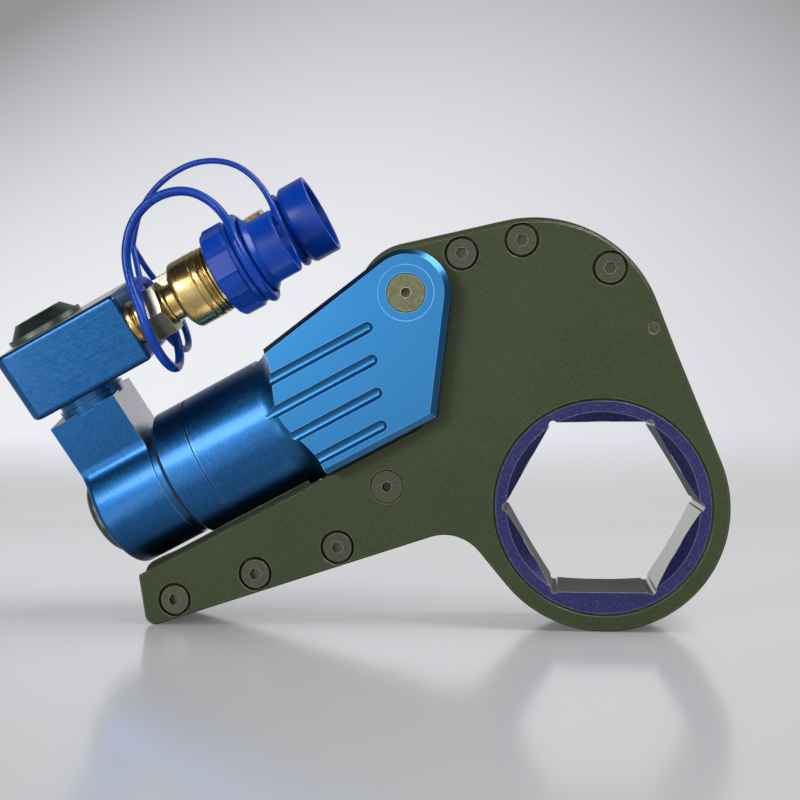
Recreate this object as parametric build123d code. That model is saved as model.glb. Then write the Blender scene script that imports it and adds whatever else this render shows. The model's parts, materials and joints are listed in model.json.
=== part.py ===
from build123d import *
from math import acos, atan2, cos, degrees, hypot, radians, sin, sqrt, tan
import os

# Low-profile hydraulic torque wrench: a hex link with a ratchet, and a power head with a cylinder.
# Millimetres. The origin is the centre of the hex socket, on the middle plane of the link.
# Y is the turning axis of the hex, X points to the nose, Z is up. The link stands on z = -nose_radius.

# Fits and gaps
running_gap = 0.08
side_gap = 0.3
fit_gap = 0.03
body_gap = 0.4

# Hex ratchet
hex_flats = 60.0
hex_relief_radius = 1.5
hex_relief_inset = 1.05
hub_wall = 3.259
tooth_rise = 3.6
tooth_depth = 1.9
tooth_flank = 0.14
tooth_count = 60
rim_width = 10.0
lead_in_wall = 4.2
lead_in_depth = 3.4

# Link
link_width = 32.0
plate_thickness = 7.0
plate_edge_chamfer = 0.7
nose_wall = 2.5
right_normal = 20.9
top_normal = 100.8
top_corner_radius = 45.0
throat_normal = 219.0
throat_radius = 16.0
drive_angle = 27.0
arm_clearance = 0.8
arm_fall = 17.8
tip_normal = 188.8
heel_x = -164.8
heel_radius = 4.0
waist_radius = 1.0

# Shroud between the plates
shroud_proud = 2.5
shroud_lean = 1.1
shroud_depth = 12.0
shroud_lug_radius = 13.0
shroud_end_height = 24.0
spacer_proud = 2.4
spacer_end = -77.0
spacer_nose_radius = 6.0

# Plate screws and dowels
screw_head_radius = 5.5
screw_head_height = 3.4
screw_sink = 0.15
screw_floor = 1.0
screw_shank_radius = 3.0
screw_reach = 14.0
counterbore_radius = 6.2
screw_socket = 4.0
screw_inset = 6.8
heel_to_screw = 9.0
arm_screw_pitch = 32.5
top_screw_places = (-30.6, -8.7)
corner_screw_angle = 45.6
dowel_radius = 2.0
dowel_inset = 4.2
dowel_height = 52.0

# Link pin, in drive coordinates: along the cylinder, and square to it
link_pin_along = -25.5
link_pin_rise = 17.5
link_pin_radius = 7.0
link_corner_radius = 18.0
link_top_wall = 17.63
link_pin_bush_radius = 10.0
link_pin_bush_length = 6.0
pin_centre_radius = 1.8
pin_centre_depth = 6.0
pin_sink = 0.1
edge_break = 0.4
hole_edge = 0.25

# Drive lever and pawls
lever_swing = 24.0
lever_rim_inset = 0.8
lever_boss_radius = 9.5
drive_pin_radius = 4.5
pawl_clearance = 0.35
pawl_pin_along = 14.0
pawl_pin_rise = 15.0
pawl_pin_radius = 3.5
pawl_boss_radius = 6.0
drive_pawl_span = (-19.0, 9.5)
reaction_pin_along = -65.026
reaction_pin_drop = 13.475
reaction_pin_radius = 6.0
reaction_boss_radius = 8.6
reaction_pawl_span = (156.0, 171.0)
pawl_height = 7.0
pawl_tail_radius = 5.0
pawl_tail_inset = 3.5
pawl_arm_radius = 3.0
pawl_arm_turn = 6.0
spring_wire = 0.8
spring_radius = 2.6
spring_turns = 4
torsion_turns = 3
torsion_leg = 9.0

# Cylinder and head
axis_height = 81.2
barrel_radius = 25.6
bore_radius = 17.0
bore_front = -76.4
bore_rear = -124.0
barrel_end = -134.2
barrel_chamfer = 1.0
barrel_seam = -121.0
seam_width = 0.8
plug_radius = 20.0
rod_radius = 8.0
piston_length = 12.0
piston_seal_depth = 2.0
piston_seal_length = 3.0
piston_seal_slack = 0.1
rod_flat_length = 16.0
rod_eye_reach = 8.0
gland_radius = 11.0
gland_length = 12.0
rod_seal_depth = 1.8
rod_seal_length = 3.0
cheek_proud = 1.0
slot_clear = 1.0
slot_gap = 0.3
cheek_corner_radius = 15.6
cheek_top_slope = 9.2
cheek_front_normal = -34.7
flare_start = -91.0
flare_radius = 11.0
flare_rise = 10.4
cheek_bevel = 2.0
groove_rises = (13.1, 2.1, -9.0, -20.0)
groove_first_end = -43.3
groove_step = 3.9
groove_tool_radius = 2.4
groove_depth = 1.2

# Swivel, from the tee post, along the cylinder axis; z is along the tee post
swivel_lean = 18.0
post_station = -150.0
tongue_left = -15.5
tongue_right = 12.0
tongue_half_depth = 12.5
tongue_height = 42.0
swivel_radius = 23.0
swivel_end_round = 2.4
swivel_shoulder = 0.7
tongue_root = 7.0
swivel_gap = 0.5
spindle_radius = 8.0
retainer_radius = 16.0
retainer_height = 3.6
retainer_bevel = 1.4
neck_radius = 13.0
neck_height = 2.2
post_radius = 7.0
post_depth = 20.0
ring_seal_depth = 1.2
ring_seal_length = 1.8
spindle_seals_at = (-10.0, 0.0, 10.0)
post_seals_at = (51.0, 60.5, 70.0)

# Manifold
block_left = 16.0
block_right = 34.5
block_half_depth = 22.0
block_bottom = 47.6
block_height = 26.4
block_edge = 2.0
block_corner = 5.0
cap_ring_radius = 14.5
cap_ring_height = 1.8
cap_top_radius = 9.2
cap_height = 6.2
cap_flange = 1.4
cap_rim = 1.0
cap_recess = 0.5

# Couplers, measured from the right face of the block
coupler_spacing = 33.0
washer_radius = 8.0
washer_length = 5.6
nut_flats = 18.0
nut_length = 8.2
stem_radius = 6.4
stem_depth = 8.0
port_radius = 4.2
neck_end = 19.6
collar_radius = 7.3
bore_of_coupler = 5.0
front_body_radius = 12.5
front_body_end = 34.6
front_throat = 6.0
nose_thread_radius = 11.4
front_nose_end = 46.0
rear_body_radius = 11.0
rear_body_end = 44.0
rear_hex_flats = 24.0
rear_hex_start = 47.5
rear_hex_end = 54.5
rear_mouth_radius = 9.0
rear_mouth_start = 40.0
poppet_radius = 3.0

# Dust cap and dust plug
cap_start = 36.4
skirt_radius = 15.8
skirt_end = 46.8
skirt_rib_count = 12
skirt_slot = 1.3
skirt_slot_depth = 0.8
cap_wall_gap = 0.4
cap_neck_radius = 13.2
cap_ring_end = 50.8
cap_grip_radius = 11.75
cap_grip_start = 53.0
cap_end = 62.0
cap_hollow_radius = 9.3
cap_hollow_depth = 8.0
plug_start = 45.0
plug_flange = 54.9
plug_neck_radius = 10.0
plug_ring_start = 58.6
plug_ring_end = 62.6
plug_ring_seat = 11.8
plug_bulge_radius = 13.2
cup_start = 65.0
cup_end = 74.2
cup_radius = 15.25
cup_wall = 1.9
cup_floor = 66.0

# Tethers: loops round the couplers, straps between, rings on the cap and the plug
tether_radius = 1.75
front_loop_radius = 16.5
front_loop_station = 7.4
front_loop_lean = 8.0
rear_loop_radius = 15.5
rear_loop_station = 2.5
loop_hang = 0.35
front_strap = ((42.9, -25.2, 68.9), (43.9, -24.0, 76.4), (47.0, -21.6, 84.6), (53.0, -19.0, 91.4),
               (61.0, -17.3, 94.9), (69.4, -16.6, 94.6), (76.6, -16.5, 91.0), (81.6, -16.6, 84.6),
               (83.4, -16.5, 76.6))
rear_strap = ((37.0, 19.2, 70.4), (38.6, 18.6, 77.8), (42.8, 17.8, 86.2), (49.6, 17.0, 93.2),
              (58.2, 16.6, 98.0), (67.6, 16.5, 100.3), (77.0, 16.4, 99.6), (85.4, 16.5, 95.8),
              (91.8, 16.6, 89.2), (94.8, 16.5, 81.6), (95.2, 16.5, 75.4))

# Worked out from the sizes above
hex_corner = hex_flats / sqrt(3)
hub_radius = hex_corner + hub_wall
lead_in_radius = hub_radius - lead_in_wall
tooth_tip_radius = hub_radius + tooth_rise
nose_radius = tooth_tip_radius + nose_wall
pawl_pin_height = tooth_tip_radius + pawl_pin_rise
arm_top = axis_height - barrel_radius - arm_clearance
link_pin_height = axis_height + link_pin_rise
link_pin_heading = drive_angle + degrees(atan2(link_pin_height, link_pin_along))
link_pin_reach = hypot(link_pin_along, link_pin_height)
top_distance = link_pin_reach * cos(radians(top_normal - link_pin_heading)) + link_top_wall
half_link = link_width / 2
half_cavity = half_link - plate_thickness
half_rim = rim_width / 2
lever_plate = half_cavity - half_rim - 2 * side_gap
plate_bore = hub_radius + running_gap
lever_radius = 2 * axis_height / (1 + cos(radians(lever_swing / 2)))
lever_rim_radius = nose_radius - lever_rim_inset
cheek_bottom = arm_top + body_gap
cheek_half_width = barrel_radius + cheek_proud
slot_end = link_pin_along - link_corner_radius - slot_clear
stroke = 2 * lever_radius * sin(radians(lever_swing / 2))
pin_sag = lever_radius * (1 - cos(radians(lever_swing / 2)))
rest_swing = lever_swing / 2
pin_rest_along = -lever_radius * sin(radians(rest_swing))
coupler_height = block_bottom + block_height / 2
coupler_side = coupler_spacing / 2
block_top = block_bottom + block_height

# Frames of the drive and of the swivel
axis_dir = Vector(cos(radians(drive_angle)), 0, sin(radians(drive_angle)))
square_dir = Vector(-sin(radians(drive_angle)), 0, cos(radians(drive_angle)))
DRIVE = Plane(origin=(0, 0, 0), x_dir=axis_dir, z_dir=square_dir)
post_dir = square_dir * cos(radians(swivel_lean)) - Vector(0, sin(radians(swivel_lean)), 0)
SWIVEL = Plane(origin=axis_dir * post_station + square_dir * axis_height, x_dir=axis_dir, z_dir=post_dir)


def polar(radius, angle):
    """Point at a radius and an angle in degrees."""
    return (radius * cos(radians(angle)), radius * sin(radians(angle)))


def meet(first, second):
    """Corner of two lines, each given by the angle of its normal and its distance from the origin."""
    (a, p), (b, q) = first, second
    a, b = radians(a), radians(b)
    turn = sin(b - a)
    return ((p * sin(b) - q * sin(a)) / turn, (q * cos(a) - p * cos(b)) / turn)


def drive_point(along, height):
    """Side-view point (x, z) of a place given along the cylinder and square to it."""
    c, s = cos(radians(drive_angle)), sin(radians(drive_angle))
    return (along * c - height * s, along * s + height * c)


def polygon(points):
    """Closed flat face through the points."""
    return make_face(Polyline(*points, close=True))


def rounded(face, corner, radius):
    """The face with its vertex nearest to the corner rounded."""
    vertex = face.vertices().sort_by_distance(Vector(corner[0], corner[1], 0))[0]
    return fillet(vertex, radius)


def slab(face, near, far):
    """A side-view face as a plate from y = near to y = far."""
    return extrude(Plane.XZ.offset(-far) * face, amount=far - near)


def disc(place, radius, near, far):
    """Round bar along Y at a side-view place."""
    return slab(Pos(place[0], place[1]) * Circle(radius), near, far)


def strap_shape(start, start_radius, end, end_radius):
    """Flat link: two discs joined by their outer tangent lines."""
    length = hypot(end[0] - start[0], end[1] - start[1])
    heading = degrees(atan2(end[1] - start[1], end[0] - start[0]))
    spread = degrees(acos((start_radius - end_radius) / length))
    corners = []
    for centre, radius, side in ((start, start_radius, 1), (end, end_radius, 1),
                                 (end, end_radius, -1), (start, start_radius, -1)):
        reach = polar(radius, heading + side * spread)
        corners.append((centre[0] + reach[0], centre[1] + reach[1]))
    return polygon(corners) + Pos(*start) * Circle(start_radius) + Pos(*end) * Circle(end_radius)


def turned(profile):
    """Solid of revolution about Z from (radius, height) points."""
    return revolve(Plane.XZ * polygon(profile), Axis.Z)


def along_x(solid, station, side, height):
    """Put a piece that was turned about Z on an axis along X."""
    return Plane(origin=(station, side, height), x_dir=(0, 0, -1), z_dir=(1, 0, 0)) * solid


def hex_bar(flats, start, end, hole):
    """Nut-shaped piece along Z with bevelled corners and a hole."""
    bar = extrude(Plane.XY.offset(start) * RegularPolygon(flats / 2, 6, major_radius=False, rotation=30),
                  amount=end - start)
    crown = flats / sqrt(3)
    bevel = (crown - flats / 2) * 0.8
    rise = bevel * tan(radians(30))
    envelope = turned(((0, start), (crown - bevel, start), (crown + 0.1, start + rise),
                       (crown + 0.1, end - rise), (crown - bevel, end), (0, end)))
    return (bar & envelope) - Pos(0, 0, (start + end) / 2) * Cylinder(hole, end - start + 2)


def coil(length):
    """Small compression spring along Z, from z = 0."""
    radius = spring_radius - spring_wire / 2
    rise = length - spring_wire
    path = Helix(rise / spring_turns, rise, radius, center=(0, 0, spring_wire / 2))
    section = Plane(origin=path @ 0, z_dir=path % 0) * Circle(spring_wire / 2)
    return sweep(section, path=path)


def torsion_spring():
    """Torsion spring round the reaction pin, in front of the pawl, with two straight legs."""
    room = half_cavity - half_rim - side_gap
    rise = room - spring_wire - side_gap
    radius = reaction_pin_radius + spring_wire
    path = Helix(rise / torsion_turns, rise, radius)
    first = Line(path @ 0 - (path % 0) * torsion_leg, path @ 0)
    last = Line(path @ 1, path @ 1 + (path % 1) * torsion_leg)
    section = Plane(origin=first @ 0, z_dir=first % 0) * Circle(spring_wire / 2)
    spring = sweep(section, path=Wire([first, path, last]))
    start = -half_cavity + (side_gap + spring_wire) / 2
    place = (reaction_pin_place[0], start, reaction_pin_place[1])
    return Plane(origin=place, x_dir=(0, 0, -1), z_dir=(0, 1, 0)) * spring


def cord(points, radius):
    """Round cord through straight runs joined by tangent arcs; returns it and its bend radii."""
    places = [Vector(*point) for point in points]
    edges, bends = [], []
    start = places[0]
    for before, corner, after in zip(places, places[1:], places[2:]):
        arrive, leave = (corner - before).normalized(), (after - corner).normalized()
        half_turn = radians(arrive.get_angle(leave)) / 2
        setback = 0.45 * min((corner - before).length, (after - corner).length)
        bend = setback / tan(half_turn)
        first, last = corner - arrive * setback, corner + leave * setback
        middle = corner + (leave - arrive).normalized() * (bend / cos(half_turn) - bend)
        edges += [Line(start, first), ThreePointArc(first, middle, last)]
        bends.append(bend)
        start = last
    edges.append(Line(start, places[-1]))
    section = Plane(origin=places[0], z_dir=(places[1] - places[0]).normalized()) * Circle(radius)
    return sweep(section, path=Wire(edges)), bends


# Outline of the link
arm_bottom_normal = 270 + arm_fall
heel = (heel_x, heel_radius - nose_radius)


def line_past(place, radius, normal):
    """Line that touches a circle, as the angle of its normal and its distance from the origin."""
    reach = place[0] * cos(radians(normal)) + place[1] * sin(radians(normal))
    return (normal, reach + radius)


def link_outline(proud=0.0, lean=0.0):
    """Side view of the link; proud moves the top and rear edges out, lean tips the right edge out."""
    right = (right_normal - lean, nose_radius)
    top = (top_normal, top_distance + proud)
    rear = (180 + drive_angle, link_corner_radius - link_pin_along + proud)
    arm_upper = (90 + drive_angle, arm_top)
    tip = line_past(heel, heel_radius, tip_normal)
    arm_lower = line_past(heel, heel_radius, arm_bottom_normal)
    throat = (throat_normal, nose_radius)
    shoulder, pin_corner = meet(right, top), meet(top, rear)
    waist, tip_top = meet(rear, arm_upper), meet(arm_upper, tip)
    heel_corner, throat_corner = meet(tip, arm_lower), meet(arm_lower, throat)
    face = polygon((polar(nose_radius, right[0]), shoulder, pin_corner, waist, tip_top,
                    heel_corner, throat_corner, polar(nose_radius, throat_normal), (0, 0)))
    face = rounded(face, shoulder, top_corner_radius + proud)
    face = rounded(face, pin_corner, link_corner_radius + proud)
    face = rounded(face, waist, waist_radius)
    face = rounded(face, tip_top, plate_edge_chamfer)
    face = rounded(face, heel_corner, heel_radius)
    face = rounded(face, throat_corner, throat_radius)
    return face + Circle(nose_radius)


def plate_places():
    """Side-view places of the plate screws: along the arm, along the top, and at the corner."""
    along = polar(1, arm_fall)
    up = polar(1, arm_fall + 90)
    rise = screw_inset - heel_radius
    first = (heel[0] + along[0] * heel_to_screw + up[0] * rise,
             heel[1] + along[1] * heel_to_screw + up[1] * rise)
    places = [(first[0] + along[0] * arm_screw_pitch * k, first[1] + along[1] * arm_screw_pitch * k)
              for k in range(3)]
    inward = polar(top_distance - screw_inset, top_normal)
    level = polar(1, top_normal - 90)
    places += [(inward[0] + level[0] * s, inward[1] + level[1] * s) for s in top_screw_places]
    centre = meet((right_normal, nose_radius - top_corner_radius),
                  (top_normal, top_distance - top_corner_radius))
    reach = polar(top_corner_radius - screw_inset, corner_screw_angle)
    return places + [(centre[0] + reach[0], centre[1] + reach[1])]


def dowel_spot():
    """Side-view place of the dowel beside the right edge."""
    inward = polar(nose_radius - dowel_inset, right_normal)
    upward = polar(dowel_height, right_normal + 90)
    return (inward[0] + upward[0], inward[1] + upward[1])


link_pin_place = drive_point(link_pin_along, link_pin_height)
reaction_pin_place = drive_point(reaction_pin_along, arm_top - reaction_pin_drop)
screw_places = plate_places()
dowel_at = dowel_spot()


def side_plate():
    """Front side plate, bored for the hub, the screws, the pins and the dowel."""
    plate = slab(link_outline(), -half_link, -half_cavity)
    outer = plate.faces().sort_by(Axis.Y)[0]
    plate = chamfer(outer.outer_wire().edges(), plate_edge_chamfer)
    plate -= disc((0, 0), plate_bore, -half_link - 1, -half_cavity + 1)
    rim = outer_ring_cut(plate_bore, plate_edge_chamfer)
    plate -= rim
    for place in screw_places:
        plate -= disc(place, counterbore_radius, -half_link - 1, -half_link + screw_head_height + side_gap)
        plate -= outer_ring_cut(counterbore_radius, hole_edge, place)
        plate -= disc(place, screw_shank_radius + fit_gap, -half_link, -half_cavity + 1)
    plate -= disc(reaction_pin_place, reaction_pin_radius + fit_gap, -half_link - 1, -half_cavity + 1)
    plate -= disc(link_pin_place, link_pin_radius + running_gap, -half_link - 1, -half_cavity + 1)
    plate -= disc(dowel_at, dowel_radius + fit_gap, -half_link - 1, -half_cavity + 1)
    plate -= outer_ring_cut(dowel_radius + fit_gap, hole_edge, dowel_at)
    plate -= outer_ring_cut(reaction_pin_radius + fit_gap, hole_edge, reaction_pin_place)
    return plate


def outer_ring_cut(radius, depth, place=(0, 0)):
    """Cone that breaks the front edge of a bore in the plate."""
    cone = turned(((0, 0), (radius + depth, 0), (radius, depth), (0, depth)))
    return Plane(origin=(place[0], -half_link, place[1]), x_dir=(1, 0, 0), z_dir=(0, 1, 0)) * cone


def lever_outline(swing, grow=0.0):
    """Drive lever in side view, at a swing in degrees from square to the cylinder."""
    centre = drive_point(lever_radius * sin(radians(swing)), lever_radius * cos(radians(swing)))
    return strap_shape((0, 0), lever_rim_radius + grow, centre, lever_boss_radius + grow)


def lever_sweep(grow):
    """Side-view area that the lever covers over its stroke, with room round it."""
    edge = 90 + drive_angle
    reach = lever_radius + lever_boss_radius + grow
    fan = polygon(((0, 0), polar(2 * reach, edge - rest_swing), polar(2 * reach, edge + rest_swing)))
    return lever_outline(rest_swing, grow) + lever_outline(-rest_swing, grow) + (Circle(reach) & fan)


def shroud():
    """Arched spacer between the plates, standing proud of them along the top and the right side."""
    band = link_outline(shroud_proud, shroud_lean) - link_core()
    ear = Pos(*link_pin_place) * Circle(shroud_lug_radius)
    band += ear & link_outline(shroud_proud, shroud_lean)
    rod_top = axis_height + rod_radius + body_gap
    channel = drive_box(-2 * top_distance, 0, 0, rod_top)
    below = Pos(0, shroud_end_height - top_distance) * Rectangle(4 * top_distance, 2 * top_distance)
    band = band - channel - lever_sweep(body_gap) - below
    solid = slab(band, -half_cavity, half_cavity)
    solid = max(solid.solids(), key=lambda piece: piece.volume)
    solid -= disc(link_pin_place, link_pin_radius + running_gap, -link_width, link_width)
    for place in screw_places[3:]:
        solid -= disc(place, screw_shank_radius + fit_gap, -link_width, link_width)
    solid -= disc(dowel_at, dowel_radius + fit_gap, -link_width, link_width)
    return solid


def link_core():
    """Inside of the shroud: the link outline moved in by the depth of the shroud."""
    right = (right_normal, nose_radius - shroud_depth)
    top = (top_normal, top_distance - shroud_depth)
    corner = meet(right, top)
    far = 3 * top_distance
    level = polar(far, top_normal + 90)
    fall = polar(far, right_normal - 90)
    face = polygon(((corner[0] + fall[0], corner[1] + fall[1]), corner,
                    (corner[0] + level[0], corner[1] + level[1]), (-far, -far)))
    return rounded(face, corner, top_corner_radius - shroud_depth)


def drive_box(start, end, low, high):
    """Side-view rectangle along the cylinder direction."""
    corners = [drive_point(a, h) for a, h in ((start, low), (end, low), (end, high), (start, high))]
    return polygon(corners)


def arm_spacer():
    """Spacer of the reaction arm; its proud top edge is hollowed for the barrel."""
    arm_upper = (90 + drive_angle, arm_top + spacer_proud)
    tip = line_past(heel, heel_radius, tip_normal)
    arm_lower = line_past(heel, heel_radius, arm_bottom_normal)
    end = (drive_angle, spacer_end)
    corners = (meet(arm_upper, tip), meet(tip, arm_lower), meet(arm_lower, end), meet(end, arm_upper))
    far = -4 * spacer_end
    face = polygon(corners)
    face = rounded(face, corners[0], spacer_nose_radius)
    face = rounded(face, corners[1], heel_radius)
    solid = slab(face, -half_cavity, half_cavity)
    solid -= DRIVE * along_x(Cylinder(barrel_radius + body_gap, far), 0, 0, axis_height)
    solid -= DRIVE * along_x(Cylinder(swivel_radius + body_gap, 2 * far), 0, 0, axis_height)
    under_head = drive_box(flare_start - body_gap, 0, arm_top, 2 * top_distance)
    solid -= slab(under_head, -link_width, link_width)
    for place in screw_places[:3]:
        solid -= disc(place, screw_shank_radius + fit_gap, -link_width, link_width)
    return solid


def plate_screw(place):
    """Flat-head screw from the front, flush in its counterbore, and its twin from the rear."""
    head_face = screw_sink - half_link
    screw = disc(place, screw_head_radius, head_face, head_face + screw_head_height)
    screw = chamfer(screw.edges().group_by(Axis.Y)[0], edge_break)
    screw += disc(place, screw_shank_radius, head_face + screw_head_height, -half_link + screw_reach)
    socket = Pos(*place) * RegularPolygon(screw_socket / 2, 6, major_radius=False)
    screw -= slab(socket, head_face - 1, head_face + screw_head_height - screw_floor)
    return screw


def pin_with_centres(place, radius, half_length, hole):
    """Plain pin along Y with a blind hole in each end."""
    pin = disc(place, radius, -half_length, half_length)
    pin = chamfer(pin.edges().filter_by(GeomType.CIRCLE), edge_break)
    pin -= disc(place, hole, -half_length - 1, -half_length + pin_centre_depth)
    pin -= disc(place, hole, half_length - pin_centre_depth, half_length + 1)
    return pin


def ratchet():
    """Hex ratchet: toothed rim, two hubs that run in the plates, and a socket with a lead-in."""
    points = []
    step = 360 / tooth_count
    for k in range(tooth_count):
        points.append(polar(tooth_tip_radius, k * step))
        points.append(polar(tooth_tip_radius - tooth_depth, (k + tooth_flank) * step))
    solid = slab(polygon(points), -half_rim, half_rim)
    hub = disc((0, 0), hub_radius, -half_link, half_link)
    solid += chamfer(hub.edges().filter_by(GeomType.CIRCLE), edge_break)
    socket = polygon([polar(hex_corner, 60 * k) for k in range(6)])
    for k in range(6):
        socket += Pos(*polar(hex_corner - hex_relief_inset, 60 * k)) * Circle(hex_relief_radius)
    solid -= slab(socket, -half_link - 1, half_link + 1)
    inner = lead_in_radius - lead_in_depth
    cone = turned(((0, -1), (lead_in_radius + 1, -1), (inner, lead_in_depth), (0, lead_in_depth)))
    front = Plane(origin=(0, -half_link, 0), x_dir=(1, 0, 0), z_dir=(0, 1, 0)) * cone
    land = Pos(0, 0, -hex_flats) * Box(hex_flats, 4 * link_width, hex_flats)
    solid -= front - land
    solid -= mirror(front, Plane.XZ)
    return solid


def lever_plate_solid():
    """Front drive lever plate: turns on the hub and carries the drive pin and the pawl pin."""
    near = -half_rim - side_gap - lever_plate
    far = -half_rim - side_gap
    plate = slab(lever_outline(-rest_swing), near, far)
    plate -= disc((0, 0), plate_bore, -link_width, link_width)
    plate -= disc(drive_pin_place, drive_pin_radius + fit_gap, -link_width, link_width)
    plate -= disc(pawl_pin_place, pawl_pin_radius + fit_gap, -link_width, link_width)
    plate -= disc(standoff_place, pawl_pin_radius + fit_gap, -link_width, link_width)
    return plate


def lever_spot(across, out):
    """Side-view place in the resting lever: across it, and out from the hex axis."""
    swing = radians(-rest_swing)
    return drive_point(out * sin(swing) + across * cos(swing), out * cos(swing) - across * sin(swing))


drive_pin_place = lever_spot(0, lever_radius)
pawl_pin_place = lever_spot(pawl_pin_along, pawl_pin_height)
standoff_place = lever_spot(-pawl_pin_along, pawl_pin_height + pawl_pin_radius)
lever_heading = 90 + drive_angle + rest_swing


def sector(inner, outer, start, end):
    """Ring sector between two angles in degrees."""
    edge = 3 * outer
    wedge = polygon(((0, 0), polar(edge, start), polar(edge, end)))
    return (Circle(outer) - Circle(inner)) & wedge


def toothed_sector(outer, start, end):
    """Sector whose inner edge is cut like the ratchet teeth, clear of their crests."""
    inner = tooth_tip_radius + pawl_clearance
    face = sector(inner, outer, start, end)
    step = 360 / tooth_count
    count = int((end - start) / step) - 1
    for k in range(count):
        angle = start + (k + 0.8) * step
        notch = polygon((polar(inner - 0.2, angle), polar(inner + tooth_depth, angle + tooth_flank * step),
                         polar(inner - 0.2, angle + 0.9 * step)))
        face -= notch
    return face


def drive_pawl():
    """Toothed drive pawl: a segment over the ratchet on an arm from the pawl pin."""
    start, end = lever_heading - drive_pawl_span[1], lever_heading - drive_pawl_span[0]
    outer = tooth_tip_radius + pawl_clearance + pawl_height
    face = toothed_sector(outer, start, end)
    face += Pos(*pawl_pin_place) * Circle(pawl_boss_radius)
    face += strap_shape(pawl_pin_place, pawl_boss_radius, polar(outer - pawl_arm_radius, start + pawl_arm_turn),
                        pawl_arm_radius) - Circle(outer - pawl_height)
    face -= Pos(*pawl_pin_place) * Circle(pawl_pin_radius + running_gap)
    return slab(face, -half_rim, half_rim)


def drive_pawl_spring():
    """Compression spring between the drive pawl and the lever standoff."""
    foot = tooth_tip_radius + pawl_clearance + pawl_height + side_gap
    out = hypot(pawl_pin_along, pawl_pin_height + pawl_pin_radius)
    heading = lever_heading + degrees(atan2(pawl_pin_along, pawl_pin_height + pawl_pin_radius))
    away = polar(1, heading)
    place = polar(foot, heading)
    frame = Plane(origin=(place[0], 0, place[1]), x_dir=(0, 1, 0), z_dir=(away[0], 0, away[1]))
    return frame * coil(out - pawl_pin_radius - foot - fit_gap)


def reaction_pawl():
    """Holding pawl on its own pin behind the ratchet."""
    start, end = reaction_pawl_span
    outer = tooth_tip_radius + pawl_clearance + pawl_height
    face = toothed_sector(outer, start, end)
    root = polar(outer - pawl_tail_inset, (start + end) / 2)
    face += strap_shape(reaction_pin_place, reaction_boss_radius, root, pawl_tail_radius) - Circle(outer - 1)
    face -= Pos(*reaction_pin_place) * Circle(reaction_pin_radius + running_gap)
    return slab(face, -half_rim, half_rim)


def head_outline():
    """Side view of the cheeks in drive coordinates, open to the left."""
    pin = (link_pin_along, link_pin_height)
    top = line_past(pin, cheek_corner_radius, 90 + cheek_top_slope)
    front = line_past(pin, cheek_corner_radius, cheek_front_normal)
    bottom = (270, -cheek_bottom)
    rear = (180, -barrel_seam)
    corners = (meet(top, front), meet(front, bottom), meet(bottom, rear), meet(rear, top))
    return rounded(polygon(corners), corners[0], cheek_corner_radius)


def cylinder_body():
    """Barrel and cheeks in one piece, bored for the piston, slotted for the link, grooved outside."""
    prism = slab(head_outline(), -cheek_half_width, cheek_half_width)
    for side in (0, -1):
        edges = prism.faces().sort_by(Axis.Y)[side].outer_wire().edges()
        prism = chamfer(edges, cheek_bevel)
    flare_end = flare_start + flare_rise
    rise = flare_radius - sqrt(flare_radius ** 2 - flare_rise ** 2)
    middle = flare_rise * 0.6
    middle_rise = flare_radius - sqrt(flare_radius ** 2 - middle ** 2)
    wide = 3 * cheek_half_width
    profile = Polyline((0, flare_start), (barrel_radius, flare_start))
    profile += ThreePointArc((barrel_radius, flare_start),
                             (barrel_radius + middle_rise, flare_start + middle),
                             (barrel_radius + rise, flare_end))
    profile += Polyline((barrel_radius + rise, flare_end), (wide, flare_end + 1), (wide, 0), (0, 0),
                        (0, flare_start))
    flare = revolve(Plane.XZ * make_face(profile), Axis.Z)
    body = prism & along_x(flare, 0, 0, axis_height)
    barrel = turned(((0, barrel_end), (barrel_radius - barrel_chamfer, barrel_end),
                     (barrel_radius, barrel_end + barrel_chamfer),
                     (barrel_radius, flare_start + 1), (0, flare_start + 1)))
    body += along_x(barrel, 0, 0, axis_height)
    seam = turned(((barrel_radius - seam_width, barrel_seam), (barrel_radius + 1, barrel_seam),
                   (barrel_radius + 1, barrel_seam + seam_width),
                   (barrel_radius - seam_width, barrel_seam + seam_width)))
    body -= along_x(seam, 0, 0, axis_height)
    hollow = turned(((0, barrel_end - 1), (plug_radius, barrel_end - 1), (plug_radius, bore_rear),
                     (bore_radius, bore_rear), (bore_radius, bore_front),
                     (rod_radius + 4 * running_gap, bore_front),
                     (rod_radius + 4 * running_gap, slot_end - gland_length),
                     (gland_radius, slot_end - gland_length), (gland_radius, slot_end + 1),
                     (0, slot_end + 1)))
    body -= along_x(hollow, 0, 0, axis_height)
    half_slot = half_link + slot_gap
    slot = Pos(slot_end + axis_height, 0, axis_height) * Box(2 * axis_height, 2 * half_slot,
                                                             4 * axis_height)
    body -= slot
    pin = (link_pin_along, link_pin_height)
    body -= disc(pin, link_pin_radius + running_gap, -2 * cheek_half_width, 2 * cheek_half_width)
    for side in (-1, 1):
        outer = side * (cheek_half_width + 1)
        inner = side * (cheek_half_width - link_pin_bush_length)
        body -= disc(pin, link_pin_bush_radius, min(outer, inner), max(outer, inner))
        tool = side * (cheek_half_width + groove_tool_radius - groove_depth)
        for k, rise in enumerate(groove_rises):
            height = axis_height + rise
            stop = groove_first_end - groove_step * k
            length = stop - flare_start
            rod = along_x(Cylinder(groove_tool_radius, length), stop - length / 2, tool, height)
            body -= rod + Pos(stop, tool, height) * Sphere(groove_tool_radius)
    return DRIVE * body


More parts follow.
